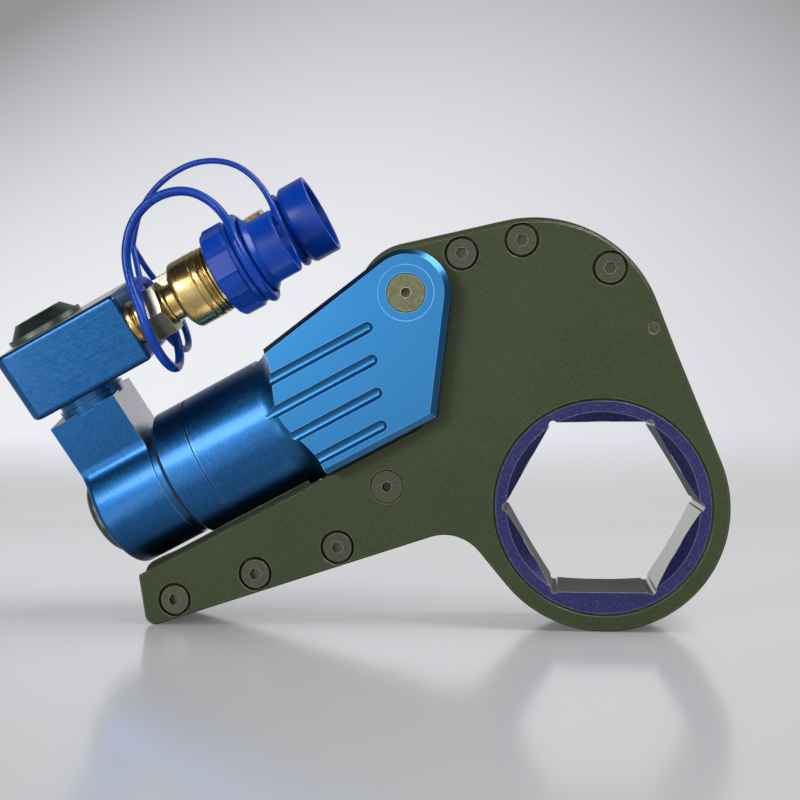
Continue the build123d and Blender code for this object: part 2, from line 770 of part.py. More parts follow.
def link_pin_bush(side):
    """Flanged ring round the link pin in one cheek."""
    outer = side * (cheek_half_width - side_gap)
    inner = side * (cheek_half_width - link_pin_bush_length)
    near, far = min(outer, inner), max(outer, inner)
    pin = (link_pin_along, link_pin_height)
    ring = disc(pin, link_pin_bush_radius - fit_gap, near, far)
    ring -= disc(pin, link_pin_radius + fit_gap, near - 1, far + 1)
    return DRIVE * ring


def end_plug():
    """Plug of the cylinder with the spindle on which the first swivel turns."""
    left = post_station + tongue_left - side_gap
    profile = ((0, bore_rear), (plug_radius - fit_gap, bore_rear),
               (plug_radius - fit_gap, barrel_end + 0.2), (spindle_radius, barrel_end + 0.2),
               (spindle_radius, left), (0, left))
    plug = turned(profile)
    for station in spindle_seals_at:
        plug = seal_groove(plug, spindle_radius, post_station + station)
    return DRIVE * along_x(plug, 0, 0, axis_height)


def swivel_retainer():
    """Round retainer on the end of the spindle, over the left face of the first swivel."""
    left = post_station + tongue_left - side_gap
    outer = left - retainer_height
    top = retainer_radius - retainer_bevel
    profile = ((0, left), (retainer_radius, left), (retainer_radius, outer + retainer_bevel),
               (top, outer), (top - cap_rim, outer), (top - cap_rim, outer + cap_recess),
               (0, outer + cap_recess))
    return DRIVE * along_x(turned(profile), 0, 0, axis_height)


def seal_groove(solid, shaft, station):
    """Cut the groove of a ring seal in a shaft along Z."""
    low, high = station - ring_seal_length / 2, station + ring_seal_length / 2
    return solid - turned(((shaft - ring_seal_depth, low), (shaft + 1, low), (shaft + 1, high),
                           (shaft - ring_seal_depth, high)))


def seal_ring(shaft, station):
    """Ring seal that fills its groove in a shaft along Z."""
    low = station - ring_seal_length / 2 + fit_gap
    high = station + ring_seal_length / 2 - fit_gap
    inner = shaft - ring_seal_depth + fit_gap
    return turned(((inner, low), (shaft, low), (shaft, high), (inner, high)))


def piston():
    """Piston with a seal groove, at the rear end of its stroke."""
    start = bore_rear + body_gap
    outer = bore_radius - running_gap
    inner = outer - piston_seal_depth
    middle = start + piston_length / 2
    half = piston_seal_length / 2
    profile = ((0, start), (outer, start), (outer, middle - half), (inner, middle - half),
               (inner, middle + half), (outer, middle + half), (outer, start + piston_length),
               (rod_radius, start + piston_length), (0, start + piston_length))
    return DRIVE * along_x(turned(profile), 0, 0, axis_height)


def ring_on_axis(inner, outer, start, end):
    """Plain ring about the cylinder axis."""
    profile = ((inner, start), (outer, start), (outer, end), (inner, end))
    return DRIVE * along_x(turned(profile), 0, 0, axis_height)


def rod_gland():
    """Bush that guides the rod in the front wall, with a groove for the rod seal."""
    start = slot_end - gland_length
    middle = start + gland_length / 2
    inner, outer = rod_radius + running_gap, gland_radius - fit_gap
    half = rod_seal_length / 2
    profile = ((inner, start), (outer, start), (outer, slot_end), (inner, slot_end),
               (inner, middle + half), (inner + rod_seal_depth, middle + half),
               (inner + rod_seal_depth, middle - half), (inner, middle - half))
    return DRIVE * along_x(turned(profile), 0, 0, axis_height)


def piston_rod():
    """Rod with a flat slotted eye that pushes the drive pin."""
    start = bore_rear + body_gap + piston_length
    flat_start = pin_rest_along - rod_flat_length
    tip = pin_rest_along + rod_eye_reach
    rod = along_x(turned(((0, start), (rod_radius, start), (rod_radius, tip), (0, tip))), 0, 0, axis_height)
    end = pin_rest_along
    shape = Pos(end, axis_height) * Circle(rod_eye_reach)
    shape += Pos((start + end) / 2, axis_height) * Rectangle(end - start, 2 * rod_radius)
    rod &= slab(shape, -rod_radius, rod_radius)
    for side in (-1, 1):
        block = Box(tip - flat_start + 1, rod_radius, 4 * rod_radius)
        rod -= Pos((tip + 1 + flat_start) / 2, side * (half_rim + rod_radius / 2), axis_height) * block
    slot_half = drive_pin_radius + body_gap
    travel = pin_sag / 2
    slot = Pos(end, axis_height) * (Rectangle(2 * slot_half, 2 * travel)
                                    + Pos(0, travel) * Circle(slot_half)
                                    + Pos(0, -travel) * Circle(slot_half))
    rod -= slab(slot, -rod_radius, rod_radius)
    return DRIVE * rod


def swivel_block():
    """First swivel: a barrel that turns on the spindle, and a tongue that carries the tee post."""
    right = barrel_end - swivel_gap - post_station
    outer, inner = swivel_radius, swivel_radius - swivel_shoulder
    profile = make_face(Polyline((0, tongue_left), (outer, tongue_left), (outer, tongue_right),
                                 (inner, tongue_right), (inner, right - edge_break),
                                 (inner - edge_break, right), (0, right), close=True))
    profile = rounded(profile, (outer, tongue_left), swivel_end_round)
    body = along_x(revolve(Plane.XZ * profile, Axis.Z), 0, 0, 0)
    width = tongue_right - tongue_left
    tongue = Pos((tongue_left + tongue_right) / 2, 0, tongue_height / 2) * Box(
        width, 2 * tongue_half_depth, tongue_height)
    body += tongue
    crease = [edge for edge in body.edges() if is_tongue_root(edge)]
    body = fillet(crease, tongue_root)
    ring = turned(((0, tongue_height - 1), (neck_radius, tongue_height - 1),
                   (neck_radius, tongue_height + neck_height), (0, tongue_height + neck_height)))
    body += ring
    body -= along_x(Cylinder(spindle_radius + running_gap, 4 * swivel_radius), 0, 0, 0)
    post = tongue_height + neck_height
    body -= Pos(0, 0, post + 1 - (post + 1 - post_depth) / 2) * Cylinder(
        post_radius + fit_gap, post + 1 - post_depth)
    return SWIVEL * body


def is_tongue_root(edge):
    """True for the two long edges where the flat sides of the tongue meet the barrel."""
    middle = edge @ 0.5
    box = edge.bounding_box()
    on_side = abs(abs(middle.Y) - tongue_half_depth) < 0.01 and box.size.Y < 0.01
    inside = tongue_height * 0.2 < middle.Z < swivel_radius
    return on_side and inside and box.size.X > 2


def tee_post():
    """Post fixed in the tongue, on which the manifold turns."""
    top = block_top + side_gap + cap_ring_height
    post = turned(((0, post_depth), (post_radius, post_depth), (post_radius, top), (0, top)))
    for station in post_seals_at:
        post = seal_groove(post, post_radius, station)
    return SWIVEL * post


def post_cap():
    """Conical cap that holds the manifold on its post."""
    low = block_top + side_gap
    high = block_top + cap_height
    edge = low + cap_ring_height
    profile = ((post_radius + fit_gap, low), (cap_ring_radius, low), (cap_ring_radius, edge),
               (cap_ring_radius - cap_flange, edge), (cap_top_radius + edge_break, high - edge_break),
               (cap_top_radius, high), (cap_top_radius - cap_rim, high),
               (cap_top_radius - cap_rim, high - cap_recess), (0, high - cap_recess),
               (0, edge + fit_gap), (post_radius + fit_gap, edge + fit_gap))
    return SWIVEL * turned(profile)


def manifold_block():
    """Manifold: a block bored for the post, with a port for each coupler in its right face."""
    width = block_left + block_right
    block = Pos((block_right - block_left) / 2, 0, (block_bottom + block_top) / 2) * Box(
        width, 2 * block_half_depth, block_height)
    block = fillet(block.edges().filter_by(Axis.Z).group_by(Axis.X)[0], block_corner)
    block = fillet(block.edges().filter_by(Axis.Z).group_by(Axis.X)[-1], block_edge)
    block = fillet(block.faces().sort_by(Axis.Z)[-1].edges(), block_edge)
    block = fillet(block.faces().sort_by(Axis.Z)[0].edges(), block_edge)
    foot = tongue_height + neck_height + body_gap
    block += turned(((0, foot), (neck_radius - 1, foot), (neck_radius - 1, block_bottom + 1),
                     (0, block_bottom + 1)))
    block -= Pos(0, 0, block_bottom) * Cylinder(post_radius + running_gap, 4 * block_height)
    for side in (-coupler_side, coupler_side):
        length = stem_depth + fit_gap
        port = Cylinder(port_radius + fit_gap, length + 1)
        block -= along_x(port, block_right + 1 - (length + 1) / 2, side, coupler_height)
        gallery = Cylinder(bore_of_coupler / 2, block_right)
        block -= along_x(gallery, block_right / 2, side, coupler_height)
    return SWIVEL * block


def on_coupler(solid, side):
    """Put a piece turned about Z on a coupler axis, z = 0 at the face of the block."""
    return SWIVEL * along_x(solid, block_right, side * coupler_side, coupler_height)


def adapter():
    """Brass adapter: stem in the block, double washer, core of the nut, and collar."""
    nut_end = washer_length + body_gap + nut_length
    bore = bore_of_coupler / 2
    return turned(((bore, -stem_depth), (port_radius, -stem_depth), (port_radius, 0), (washer_radius, 0),
                   (washer_radius, washer_length * 0.42), (washer_radius - 0.7, washer_length * 0.46),
                   (washer_radius - 0.7, washer_length * 0.54), (washer_radius, washer_length * 0.58),
                   (washer_radius, washer_length), (stem_radius, washer_length), (stem_radius, nut_end),
                   (collar_radius, nut_end), (collar_radius, neck_end), (bore, neck_end)))


def adapter_nut():
    """Hex nut on the adapter."""
    start = washer_length + fit_gap
    return hex_bar(nut_flats, start, start + nut_length, stem_radius + fit_gap)


def front_coupler():
    """Front coupler: a brass body with end rings and a nose under the dust cap."""
    r, end = front_body_radius, front_body_end
    bore = bore_of_coupler / 2
    throat = end - front_throat
    return turned(((bore, neck_end), (r - 1.6, neck_end), (r, neck_end + 1.6), (r, end - 7.6),
                   (r - 0.35, end - 7.3), (r, end - 7), (r, end - 4), (r - 0.8, end - 3.6),
                   (r - 0.8, end - 3), (r - 0.2, end - 2.8), (r - 0.2, end - 0.4), (r - 0.6, end),
                   (nose_thread_radius, end), (nose_thread_radius, front_nose_end - 1),
                   (nose_thread_radius - 1, front_nose_end), (7, front_nose_end), (7, throat),
                   (bore, throat)))


def rear_coupler():
    """Rear coupler: a slimmer brass body that ends in a hex with an open mouth."""
    r = rear_body_radius
    bore = bore_of_coupler / 2
    body = turned(((bore, neck_end), (r - 1.4, neck_end), (r, neck_end + 1.4), (r, rear_body_end - 12),
                   (r - 0.5, rear_body_end - 11.6), (r, rear_body_end - 11.2), (r, rear_body_end),
                   (rear_hex_flats / 2, rear_hex_start), (rear_mouth_radius, rear_hex_start),
                   (rear_mouth_radius, rear_mouth_start), (bore, rear_mouth_start)))
    return body + hex_bar(rear_hex_flats, rear_hex_start, rear_hex_end, rear_mouth_radius)


def poppet(start, seat):
    """Valve poppet inside a coupler, with its head just off the seat."""
    stem = bore_of_coupler / 2 - side_gap
    head = seat + fit_gap
    return turned(((0, start), (stem, start), (stem, head), (poppet_radius, head),
                   (poppet_radius, head + 2), (1.2, head + 4), (0, head + 4)))


def dust_cap():
    """Dust cap of the front coupler: ribbed skirt, seat for the tether ring, smooth hollow grip."""
    inner = nose_thread_radius + cap_wall_gap
    floor = front_nose_end + cap_wall_gap
    cap = turned(((inner, cap_start), (skirt_radius - 1, cap_start), (skirt_radius, cap_start + 1),
                  (skirt_radius, skirt_end - 0.8), (skirt_radius - 0.8, skirt_end),
                  (cap_neck_radius, skirt_end), (cap_neck_radius, cap_ring_end),
                  (cap_neck_radius + 0.6, cap_ring_end + 0.4), (cap_neck_radius + 0.4, cap_grip_start - 0.8),
                  (cap_grip_radius, cap_grip_start), (cap_grip_radius, cap_end - 0.5),
                  (cap_grip_radius - 0.5, cap_end), (cap_hollow_radius, cap_end),
                  (cap_hollow_radius, cap_end - cap_hollow_depth), (0, cap_end - cap_hollow_depth),
                  (0, floor), (inner, floor)))
    slot = Pos(skirt_radius - skirt_slot_depth + 1, 0, (cap_start + skirt_end) / 2) * Box(
        2, skirt_slot, skirt_end - cap_start + 1)
    for k in range(skirt_rib_count):
        cap -= Rot(0, 0, 360 / skirt_rib_count * (k + 0.5)) * slot
    return cap


def dust_plug():
    """Dust plug of the rear coupler: stem in the mouth, seat for the tether ring, open cup."""
    stem = rear_mouth_radius - cap_wall_gap
    inner = cup_radius - cup_wall
    return turned(((0, plug_start), (stem - 1, plug_start), (stem, plug_start + 1), (stem, plug_flange),
                   (plug_neck_radius, plug_flange), (plug_neck_radius, plug_ring_start - 0.6),
                   (plug_ring_seat, plug_ring_start), (plug_ring_seat, plug_ring_end),
                   (plug_bulge_radius, plug_ring_end + 0.3), (plug_bulge_radius, cup_start - 0.6),
                   (cup_radius - 0.8, cup_start), (cup_radius, cup_start + 0.8),
                   (cup_radius, cup_end), (inner + 0.4, cup_end), (inner, cup_end - 0.6),
                   (inner, cup_floor), (0, cup_floor)))


def loop_place(station, seat, radius, side):
    """Centre of a tether loop that hangs on a coupler with a seat of that radius."""
    drop = radius - tether_radius - seat - loop_hang
    return (block_right + station, side * coupler_side, coupler_height - drop)


def tether(points, loop, lean, loop_radius, ring_station, ring_radius, side):
    """Tether in one moulding: loop round the coupler, strap, and ring on the cap or plug."""
    strap, bends = cord(points, tether_radius)
    upright = Rot(0, 90, 0)
    hoop = Pos(*loop) * Rot(0, lean, 0) * upright * Torus(loop_radius, tether_radius)
    seat = Pos(block_right + ring_station, side * coupler_side, coupler_height)
    ring = seat * upright * Torus(ring_radius, tether_radius)
    print("tether bend radii", [round(bend, 1) for bend in bends])
    return SWIVEL * (strap + hoop + ring)


def both_sides(solid):
    """The piece and its mirror image across the middle plane."""
    return [solid, mirror(solid, Plane.XZ)]


nodes = {}
front_plate = side_plate()
nodes["side_plate_front"], nodes["side_plate_rear"] = both_sides(front_plate)
nodes["shroud"] = shroud()
nodes["arm_spacer"] = arm_spacer()
screws = []
for spot in screw_places:
    screws += both_sides(plate_screw(spot))
nodes["plate_screws"] = Compound(screws)
nodes["dowel_pins"] = disc(dowel_at, dowel_radius, side_gap - half_link, half_link - side_gap)
pin_reach = cheek_half_width - side_gap
nodes["link_pin"] = pin_with_centres(link_pin_place, link_pin_radius, pin_reach, pin_centre_radius)
nodes["reaction_pin"] = pin_with_centres(reaction_pin_place, reaction_pin_radius, half_link - pin_sink,
                                         pin_centre_radius)
nodes["reaction_pawl"] = reaction_pawl()
washer = disc(reaction_pin_place, reaction_boss_radius, half_rim + side_gap, half_cavity)
washer -= disc(reaction_pin_place, reaction_pin_radius + fit_gap, -link_width, link_width)
nodes["reaction_washer"] = washer
nodes["reaction_spring"] = torsion_spring()

nodes["hex_ratchet"] = ratchet()
front_lever = lever_plate_solid()
nodes["lever_plate_front"], nodes["lever_plate_rear"] = both_sides(front_lever)
lever_reach = half_rim + side_gap + lever_plate
nodes["drive_pin"] = disc(drive_pin_place, drive_pin_radius, -lever_reach, lever_reach)
nodes["pawl_pin"] = disc(pawl_pin_place, pawl_pin_radius, -lever_reach, lever_reach)
nodes["lever_standoff"] = disc(standoff_place, pawl_pin_radius, -lever_reach, lever_reach)
nodes["drive_pawl"] = drive_pawl()
nodes["drive_pawl_spring"] = drive_pawl_spring()

nodes["cylinder_body"] = cylinder_body()
nodes["link_pin_bushes"] = Compound([link_pin_bush(-1), link_pin_bush(1)])
nodes["end_plug"] = end_plug()
nodes["swivel_retainer"] = swivel_retainer()
nodes["rod_gland"] = rod_gland()
gland_middle = slot_end - gland_length / 2
half_seal = rod_seal_length / 2 - fit_gap
nodes["rod_seal"] = ring_on_axis(rod_radius + running_gap, rod_radius + rod_seal_depth,
                                 gland_middle - half_seal, gland_middle + half_seal)
nodes["spindle_seals"] = Compound([DRIVE * along_x(seal_ring(spindle_radius, post_station + station),
                                                   0, 0, axis_height) for station in spindle_seals_at])
nodes["piston"] = piston()
seal_middle = bore_rear + body_gap + piston_length / 2
seal_outer = bore_radius - running_gap
half_seal = piston_seal_length / 2 - piston_seal_slack
nodes["piston_seal"] = ring_on_axis(seal_outer - piston_seal_depth + fit_gap, seal_outer,
                                    seal_middle - half_seal, seal_middle + half_seal)
nodes["piston_rod"] = piston_rod()

nodes["swivel_block"] = swivel_block()
nodes["tee_post"] = tee_post()
nodes["post_seals"] = Compound([SWIVEL * seal_ring(post_radius, station) for station in post_seals_at])
nodes["post_cap"] = post_cap()
nodes["manifold_block"] = manifold_block()
nodes["coupler_adapters"] = Compound([on_coupler(adapter(), -1), on_coupler(adapter(), 1)])
nodes["adapter_nuts"] = Compound([on_coupler(adapter_nut(), -1), on_coupler(adapter_nut(), 1)])
nodes["front_coupler"] = on_coupler(front_coupler(), -1)
nodes["rear_coupler"] = on_coupler(rear_coupler(), 1)
nodes["front_poppet"] = on_coupler(poppet(neck_end + 2, front_body_end - front_throat), -1)
nodes["rear_poppet"] = on_coupler(poppet(neck_end + 2, rear_mouth_start), 1)
nodes["dust_cap"] = on_coupler(dust_cap(), -1)
nodes["dust_plug"] = on_coupler(dust_plug(), 1)
nut_corner = nut_flats / sqrt(3)
nodes["cap_tether"] = tether(front_strap, loop_place(front_loop_station, nut_corner, front_loop_radius, -1),
                             front_loop_lean, front_loop_radius, (skirt_end + cap_ring_end) / 2,
                             cap_neck_radius + tether_radius + side_gap, -1)
nodes["plug_tether"] = tether(rear_strap, loop_place(rear_loop_station, washer_radius, rear_loop_radius, 1),
                              0, rear_loop_radius, (plug_ring_start + plug_ring_end) / 2,
                              plug_ring_seat + tether_radius + side_gap, 1)

os.makedirs("parts", exist_ok=True)
for name, shape in nodes.items():
    export_step(shape, "parts/" + name + ".step")
    print(name, round(shape.volume))
print("stroke", round(stroke, 2), "pin sag", round(pin_sag, 2), "lever radius", round(lever_radius, 2))
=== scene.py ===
import json
from math import atan2, cos, pi, radians, sin

import bmesh
import bpy
from mathutils import Matrix, Vector


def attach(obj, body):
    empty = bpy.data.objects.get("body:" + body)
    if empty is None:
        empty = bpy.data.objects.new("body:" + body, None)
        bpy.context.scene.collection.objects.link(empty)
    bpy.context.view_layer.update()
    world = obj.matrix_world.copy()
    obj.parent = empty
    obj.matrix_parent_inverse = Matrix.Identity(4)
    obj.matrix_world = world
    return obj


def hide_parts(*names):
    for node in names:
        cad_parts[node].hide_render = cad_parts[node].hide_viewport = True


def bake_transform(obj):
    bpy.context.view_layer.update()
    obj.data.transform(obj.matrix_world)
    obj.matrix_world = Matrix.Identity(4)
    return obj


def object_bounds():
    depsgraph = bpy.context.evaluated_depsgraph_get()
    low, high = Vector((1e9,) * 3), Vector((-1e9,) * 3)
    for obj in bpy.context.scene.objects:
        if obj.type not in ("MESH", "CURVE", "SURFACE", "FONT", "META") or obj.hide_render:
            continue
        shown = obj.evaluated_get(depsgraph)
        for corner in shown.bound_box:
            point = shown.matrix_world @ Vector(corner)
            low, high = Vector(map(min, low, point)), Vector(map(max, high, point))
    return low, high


# Hydraulic torque wrench, dressed for the studio photograph. Sizes are in millimetres and go
# through MM into metres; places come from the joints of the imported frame.

MM = 0.001
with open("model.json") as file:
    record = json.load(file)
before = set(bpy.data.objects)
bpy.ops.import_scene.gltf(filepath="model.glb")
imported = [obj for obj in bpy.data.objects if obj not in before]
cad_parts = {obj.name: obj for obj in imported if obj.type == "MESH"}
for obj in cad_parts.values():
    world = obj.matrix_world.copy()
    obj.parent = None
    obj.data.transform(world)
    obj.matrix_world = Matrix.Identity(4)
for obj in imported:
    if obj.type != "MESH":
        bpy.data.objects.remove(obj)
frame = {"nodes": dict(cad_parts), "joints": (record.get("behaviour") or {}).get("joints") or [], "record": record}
cad_box = [list(corner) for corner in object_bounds()]
joints = {joint["name"]: joint for joint in frame["joints"]}
parts = frame["nodes"]

# Directions and places from the frame
drive_dir = Vector(joints["piston_stroke"]["axis"]).normalized()
post_dir = Vector(joints["manifold_turn"]["axis"]).normalized()
side_dir = post_dir.cross(drive_dir).normalized()
swivel_centre = Vector(joints["swivel_turn"]["pos_m"])
drive_angle = atan2(drive_dir.z, drive_dir.x)

# Where the finishes and the painted light change: plate edges facing up, which get a painted highlight; undersides
# of the blue parts and the nut, which get painted shade; the hexagon's wall that gets a polish and a painted
# highlight, and the reach of the hexagon; and start of the blasted cheeks along the drive
lit_edge_dir = (-0.45, 0, 0.89)
shade_dir = (0.37, 0, -0.93)
lit_wall_dir = (-cos(radians(30)), 0, sin(radians(30)))
wall_reach = 36.2
cheek_start = -91.0

# Couplers, measured from the right face of the manifold
block_right = 34.5
coupler_side = 16.5
coupler_height = 60.8
bore = 2.5
washer_radius = 8.0
washer_length = 5.6
gap_start = 2.2
gap_end = 3.4
gap_depth = 1.1
gap_slope = 0.5
stem_radius = 6.4
stem_depth = 8.0
port_radius = 4.2
nut_end = 14.2
collar_radius = 7.3
collar_end = 15.4
collar_step = 0.6
collar_slope = 0.4
neck_end = 19.6
front_radius = 12.5
front_end = 34.6
nose_radius = 11.4
nose_end = 46.0
nose_wall = 0.9
nose_bore = 7
nose_depth = 6
thread_start = 0.8
thread_pitch = 1.6
thread_depth = 0.5
thread_turns = 6
brass_edge = 0.7
barrel_edge = 0.4
# Shoulder of the front coupler: depth below the barrel's surface, and way past the neck
front_shoulder = ((2.6, 0), (0.3, 1.5), (0, 2.4))
# Turned rings of the front coupler: way back from the barrel's end, and depth below its surface
front_rings = ((5.7, 0), (5.5, 0.4), (5.3, 0.4), (5.1, 0), (3.0, 0), (2.7, 0.9), (2.4, 0.9), (2.1, 0.1),
               (1.6, 0.1), (1.3, 0.7), (1.1, 0.7), (0.8, 0.2), (0, 0.4))

# Retainer of the swivel: face of the swivel, straight wall, bevel and flat crown
retainer_face = -15.8
retainer_radius = 16.0
retainer_wall = 3.2
retainer_bevel = (1.5, 4.9)
retainer_crown = 4.0
retainer_height = 5.6
retainer_edge = 0.9

# Seal between the swivel and the barrel
seal_station = 15.35
seal_radius = 22.75
seal_thick = 0.85

# Dust cap and dust plug
plastic_edge = 0.6
cap_start = 36.4
skirt_radius = 16.4
skirt_root = 15.5
skirt_end = 46.8
skirt_pads = 6
pad_start = 59.0
pad_span = 31.0
pad_slope = 3.0
pad_end = 44.8
cap_inner = 11.8
cap_floor = 46.4
cap_neck = 13.2
cap_ring_end = 50.8
cap_grip = 11.75
cap_grip_start = 53.0
cap_end = 62.0
cap_hollow = 9.3
cap_hollow_depth = 8.0
plug_start = 45.0
plug_stem = 8.6
plug_flange = 54.9
plug_neck = 10.0
plug_ring_start = 58.6
plug_ring_end = 62.6
plug_seat = 11.8
cup_start = 62.8
cup_end = 74.2
cup_radius = 15.25
cup_wall = 1.9
cup_floor = 66.0

# Tethers, in the swivel's own directions: along the drive, across, and along the post
tether_radius = 1.75
rear_tether_radius = 1.45
leg_radius = 1.15
strap_extra = 0.25
strap_flat = 0.8
ring_gap = 0.3
tether_voxel = 0.38
tether_rounds = 6
front_loop = (41.9, -16.5, 56.6)
front_loop_radius = 16.5
front_loop_lean = 8.0
rear_loop = (37.0, 16.5, 56.15)
rear_loop_radius = 15.5
rear_loop_start = 160
rear_loop_sweep = 220
rear_loop_steps = 40
front_strap = ((42.4, -32.6, 60.0), (43.0, -30.8, 64.8), (43.9, -24.6, 76.4), (47.0, -21.6, 84.6),
               (53.0, -19.0, 91.4), (61.0, -17.3, 94.9), (69.4, -16.6, 94.6), (76.6, -16.6, 91.0),
               (81.2, -17.6, 84.0), (83.2, -21.4, 76.6), (83.3, -27.3, 71.6), (83.3, -29.7, 68.4))
rear_split = (39.4, 18.3, 84.5)
rear_front_leg = ((38.0, 12.5, 76.5), (37.2, 5.4, 69.0))
rear_back_leg = ((37.2, 27.6, 69.0), (38.0, 22.0, 76.5))
rear_strap = (rear_split, (42.8, 17.8, 88.4), (49.6, 17.0, 94.6), (58.2, 16.6, 98.6), (67.6, 16.5, 100.3),
              (77.0, 16.4, 99.6), (85.4, 16.4, 95.8), (91.4, 15.8, 89.4), (94.6, 13.4, 80.6),
              (95.1, 8.6, 72.2), (95.1, 5.1, 68.7), (95.1, 3.5, 65.5))


def at_swivel(along, across, up):
    """Point given in millimetres along the drive, across and up the post."""
    return swivel_centre + (drive_dir * along + side_dir * across + post_dir * up) * MM


def coupler_place(side):
    """Centre of the port of one coupler; side is -1 for the front and 1 for the rear."""
    return at_swivel(block_right, side * coupler_side, coupler_height)


# Mesh helpers

on_axis = 1e-6
free_up = Vector((0.31, 0.9, 0.2))


def rounded_profile(points, radius=0.35, steps=3):
    """The (radius, along) points with each inner corner turned into a small arc."""
    result = [Vector(points[0])]
    for before, corner, after in zip(points, points[1:], points[2:]):
        corner = Vector(corner)
        back, ahead = Vector(before) - corner, Vector(after) - corner
        reach = min(radius, 0.45 * back.length, 0.45 * ahead.length)
        start, end = corner + back.normalized() * reach, corner + ahead.normalized() * reach
        for k in range(steps + 1):
            t = k / steps
            result.append((1 - t) ** 2 * start + 2 * t * (1 - t) * corner + t * t * end)
    result.append(Vector(points[-1]))
    return result


def finish_mesh(name, bm, material, crease=32):
    """Turn a bmesh into an object with smooth faces; edges past the crease angle stay sharp."""
    bmesh.ops.remove_doubles(bm, verts=bm.verts, dist=1e-7)
    bmesh.ops.recalc_face_normals(bm, faces=bm.faces)
    for face in bm.faces:
        face.smooth = True
    for edge in bm.edges:
        if len(edge.link_faces) == 2:
            edge.smooth = edge.calc_face_angle(0) < radians(crease)
    mesh = bpy.data.meshes.new(name)
    bm.to_mesh(mesh)
    bm.free()
    piece = bpy.data.objects.new(name, mesh)
    bpy.context.scene.collection.objects.link(piece)
    mesh.materials.append(material)
    return piece


def lathe(profile, place, axis, across, steps=96, shape=None):
    """Surface of revolution of a closed (radius, along) profile; shape may change a radius."""
    bm = bmesh.new()
    third = axis.cross(across).normalized()
    rings = []
    for k in range(steps):
        turn = 2 * pi * k / steps
        out = across * cos(turn) + third * sin(turn)
        ring = []
        for radius, along in profile:
            if shape:
                radius = shape(radius, along, turn)
            ring.append(bm.verts.new(place + (axis * along + out * radius) * MM))
        rings.append(ring)
    for k in range(steps):
        ring, after = rings[k], rings[(k + 1) % steps]
        for j in range(len(profile)):
            nxt = (j + 1) % len(profile)
            if max(profile[j][0], profile[nxt][0]) >= on_axis:
                bm.faces.new((ring[j], ring[nxt], after[nxt], after[j]))
    return bm


def spline(points, steps=10):
    """Smooth run through the middles of a chain of points, with its two ends kept."""
    chain = [Vector(p) for p in points]
    result = [chain[0]]
    for k in range(1, len(chain) - 1):
        start = chain[0] if k == 1 else (chain[k - 1] + chain[k]) / 2
        end = chain[-1] if k == len(chain) - 2 else (chain[k] + chain[k + 1]) / 2
        for j in range(1, steps + 1):
            t = j / steps
            result.append((1 - t) ** 2 * start + 2 * t * (1 - t) * chain[k] + t * t * end)
    return result


def add_tube(bm, centres, radii, closed=False, sides=20, flat=1.0, flat_dir=None):
    """Tube through the centres; flat squeezes it along flat_dir."""
    count = len(centres)
    rings = []
    up = None
    for k, centre in enumerate(centres):
        before = centres[k - 1] if k or closed else centres[k]
        after = centres[(k + 1) % count] if k + 1 < count or closed else centres[k]
        ahead = (after - before).normalized()
        if up is None:
            up = flat_dir or free_up
        up = (up - ahead * up.dot(ahead)).normalized()
        side = ahead.cross(up)
        ring = []
        for j in range(sides):
            turn = 2 * pi * j / sides
            offset = up * cos(turn) * flat + side * sin(turn)
            ring.append(bm.verts.new(centre + offset * radii[k]))
        rings.append(ring)
    for k in range(count if closed else count - 1):
        ring, nxt = rings[k], rings[(k + 1) % count]
        for j in range(sides):
            bm.faces.new((ring[j], ring[(j + 1) % sides], nxt[(j + 1) % sides], nxt[j]))
    if not closed:
        bm.faces.new(rings[0])
        bm.faces.new(list(reversed(rings[-1])))


def circle_points(centre, radius, first, second, count=72):
    """Points of a circle in the plane of two directions."""
    return [centre + (first * cos(2 * pi * k / count) + second * sin(2 * pi * k / count)) * radius
            for k in range(count)]


def moulded(piece, voxel, rounds):
    """Merge the shells of a piece into one skin and soften their joins."""
    modifier = piece.modifiers.new("merge", "REMESH")
    modifier.mode = "VOXEL"
    modifier.voxel_size = voxel
    modifier.use_smooth_shade = True
    bpy.context.view_layer.update()
    merged = bpy.data.meshes.new_from_object(piece.evaluated_get(bpy.context.evaluated_depsgraph_get()))
    piece.modifiers.clear()
    bm = bmesh.new()
    bm.from_mesh(merged)
    for _ in range(rounds):
        bmesh.ops.smooth_vert(bm, verts=bm.verts, factor=0.5, use_axis_x=True, use_axis_y=True,
                              use_axis_z=True)
    for face in bm.faces:
        face.smooth = True
    bm.to_mesh(piece.data)
    bm.free()
    bpy.data.meshes.remove(merged)


# Materials

def add(tree, kind, **values):
    """New shader node with its properties and unlinked inputs set by name."""
    node = tree.nodes.new("ShaderNode" + kind)
    for key, value in values.items():
        if hasattr(node, key):
            setattr(node, key, value)
        else:
            node.inputs[key.replace("_", " ")].default_value = value
    return node


def start_material(name, metallic, roughness):
    """Material with one Principled shader."""
    material = bpy.data.materials.new(name)
    material.use_nodes = True
    tree = material.node_tree
    shader = tree.nodes["Principled BSDF"]
    shader.inputs["Metallic"].default_value = metallic
    shader.inputs["Roughness"].default_value = roughness
    return material, tree, shader


def coordinates(tree, scale=(1, 1, 1), turn=0.0):
    """Object coordinates, turned about Y and scaled per axis."""
    source = add(tree, "TexCoord")
    first = add(tree, "Mapping", vector_type="POINT")
    first.inputs["Rotation"].default_value = (0, turn, 0)
    second = add(tree, "Mapping", vector_type="POINT")
    second.inputs["Scale"].default_value = scale
    tree.links.new(source.outputs["Object"], first.inputs["Vector"])
    tree.links.new(first.outputs["Vector"], second.inputs["Vector"])
    return second.outputs["Vector"]


def noise(tree, vector, scale=1.0, detail=2.0, roughness=0.5):
    """Noise value of a vector."""
    node = add(tree, "TexNoise")
    node.inputs["Scale"].default_value = scale
    node.inputs["Detail"].default_value = detail
    node.inputs["Roughness"].default_value = roughness
    tree.links.new(vector, node.inputs["Vector"])
    return node.outputs["Fac"]


